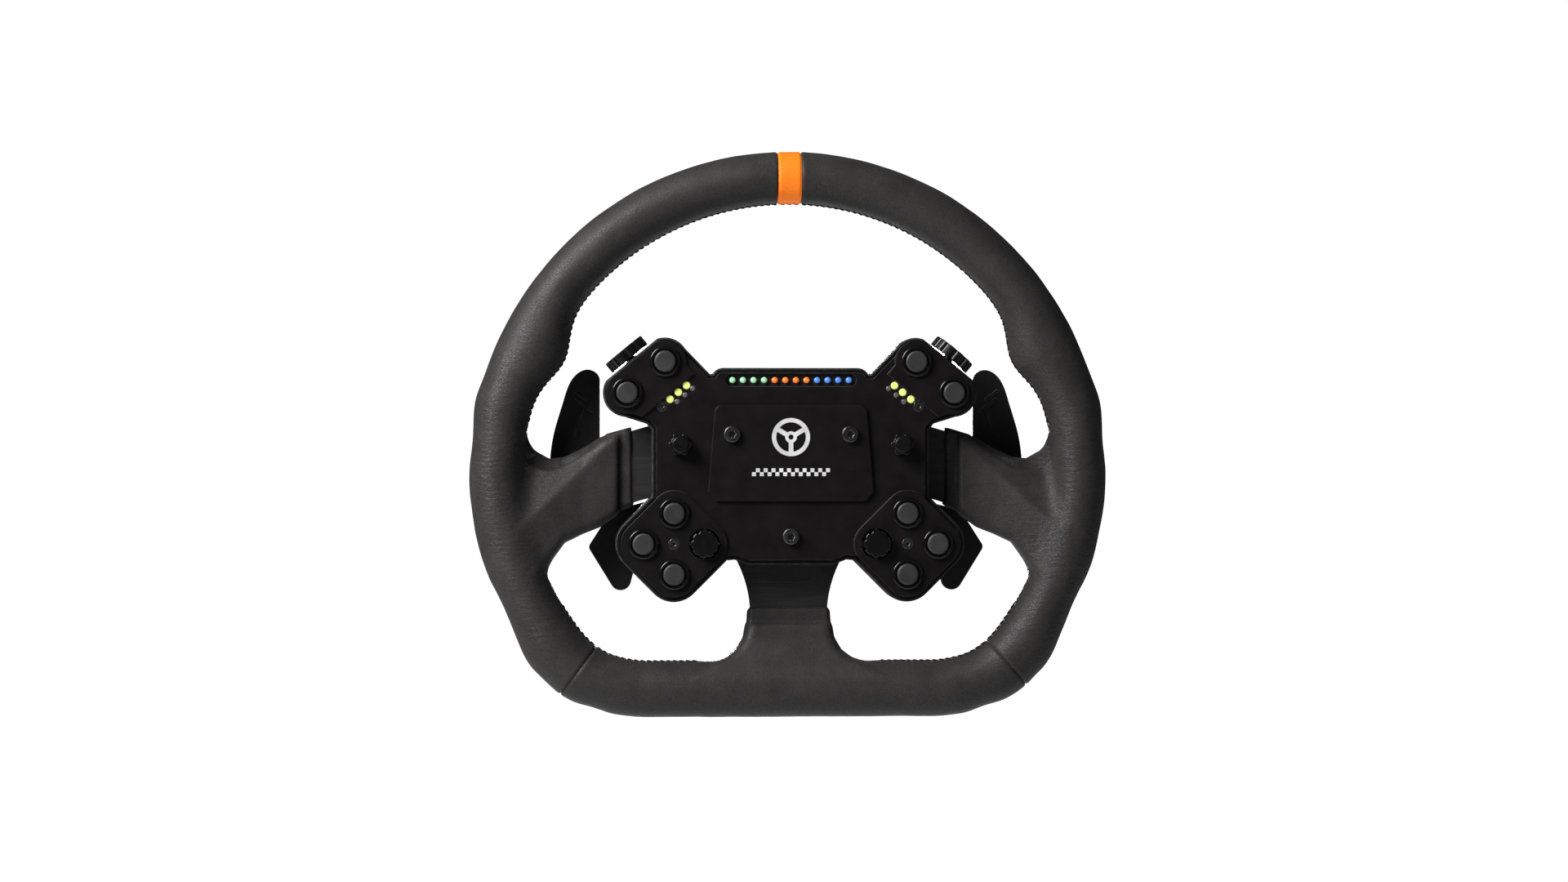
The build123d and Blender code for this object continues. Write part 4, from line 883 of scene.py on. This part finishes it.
black_thread = thread_look("black_thread", grey(0.004), grey(0.014))
orange_thread = thread_look("orange_thread", (0.5, 0.06, 0.004, 1), (0.95, 0.25, 0.03, 1))
for name, lengths, look, slot_name in (
    ("stitching_left", inner_lengths(-1), black_thread, "leather"),
    ("stitching_right", inner_lengths(1), black_thread, "leather"),
    ("stitching_marker", [marker_edge()], orange_thread, "marker_leather"),
):
    verts, faces = stitches(lengths)
    thread = new_object(name, to_world(verts), faces)
    thread.data.materials.append(look)
    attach(thread, "wheel")

# ---------------------------------------------------------------- floor, light and camera
centre = (CAD_BOX[0] + CAD_BOX[1]) / 2
FLOOR_Z = CAD_BOX[0].z - 0.55
FLOOR_RADIUS = 2.0
ROOM_LIGHT, BACKDROP = 0.06, 1.05    # the world's strength as light, and as the camera sees it
CAMERA_DISTANCE, CAMERA_TURN, LENS = 1.795, math.radians(-3.0), 79.4
AIM = Vector((-0.0025, -F_RIM * MM, 0.014))


def studio_floor():
    """A round pale floor with a soft, slightly uneven surface."""
    bm = bmesh.new()
    bmesh.ops.create_grid(bm, x_segments=40, y_segments=40, size=1.0)
    for v in bm.verts:
        r = max(abs(v.co.x), abs(v.co.y))
        length = math.hypot(v.co.x, v.co.y) or 1.0
        v.co = Vector((v.co.x / length * r, v.co.y / length * r, 0)) * FLOOR_RADIUS
        v.co.z = FLOOR_Z
    mesh = bpy.data.meshes.new("studio_floor")
    bm.to_mesh(mesh)
    bm.free()
    look = Look("studio_paint", Specular_IOR_Level=0.1, Emission_Color=grey(1.0))
    look.colour(look.mix(look.noise(60, 3.0), grey(0.8), grey(0.84)))
    spread = look.add("ShaderNodeVectorMath", {0: look.place}, operation="LENGTH").outputs["Value"]
    seen = look.add("ShaderNodeLightPath").outputs["Is Camera Ray"]
    shown = look.math("MULTIPLY", seen, look.range(spread, 0.7, 1.95, 0.55, 1.0, smooth=True))
    look.tree.links.new(shown, look.shader.inputs["Emission Strength"])
    look.roughness(look.range(look.noise(9, 3.0), 0.3, 0.7, 0.75, 0.9))
    look.bump(look.noise(3, 3.0), 0.1)
    mesh.materials.append(look.material)
    linked("studio_floor", mesh)


def area_light(name, at, size, power):
    """A lamp that faces the middle of the wheel."""
    data = bpy.data.lights.new(name, "AREA")
    data.shape = "RECTANGLE"
    data.size, data.size_y = size
    data.energy = power
    lamp = linked(name, data)
    lamp.location = Vector(at)
    lamp.rotation_mode = "QUATERNION"
    lamp.rotation_quaternion = (centre - lamp.location).to_track_quat("-Z", "Y")


def studio_world():
    """A white surround that gives only a little light."""
    world = bpy.data.worlds.new("studio")
    bpy.context.scene.world = world
    world.use_nodes = True
    nodes, links = world.node_tree.nodes, world.node_tree.links
    background = nodes["Background"]
    ray = nodes.new("ShaderNodeLightPath")
    strength = nodes.new("ShaderNodeMapRange")
    strength.inputs["To Min"].default_value = ROOM_LIGHT
    strength.inputs["To Max"].default_value = BACKDROP
    links.new(ray.outputs["Is Camera Ray"], strength.inputs["Value"])
    links.new(strength.outputs["Result"], background.inputs["Strength"])
    background.inputs["Color"].default_value = (1, 1, 1, 1)


def front_camera():
    """The camera, almost straight in front of the wheel."""
    camera = linked("camera", bpy.data.cameras.new("camera"))
    camera.data.lens = LENS
    back = Vector((math.sin(CAMERA_TURN), -math.cos(CAMERA_TURN), 0))
    camera.location = AIM + back * CAMERA_DISTANCE
    camera.rotation_mode = "QUATERNION"
    camera.rotation_quaternion = (-back).to_track_quat("-Z", "Y")
    bpy.context.scene.camera = camera


studio_floor()
area_light("key", (-0.95, -0.75, 0.8), (0.75, 0.75), 31)
area_light("fill", (1.5, -1.2, 0.4), (0.6, 1.0), 1)
area_light("back", (0.0, 2.2, 0.1), (0.5, 0.5), 30)
studio_world()
bpy.context.scene.view_settings.view_transform = "Standard"
front_camera()
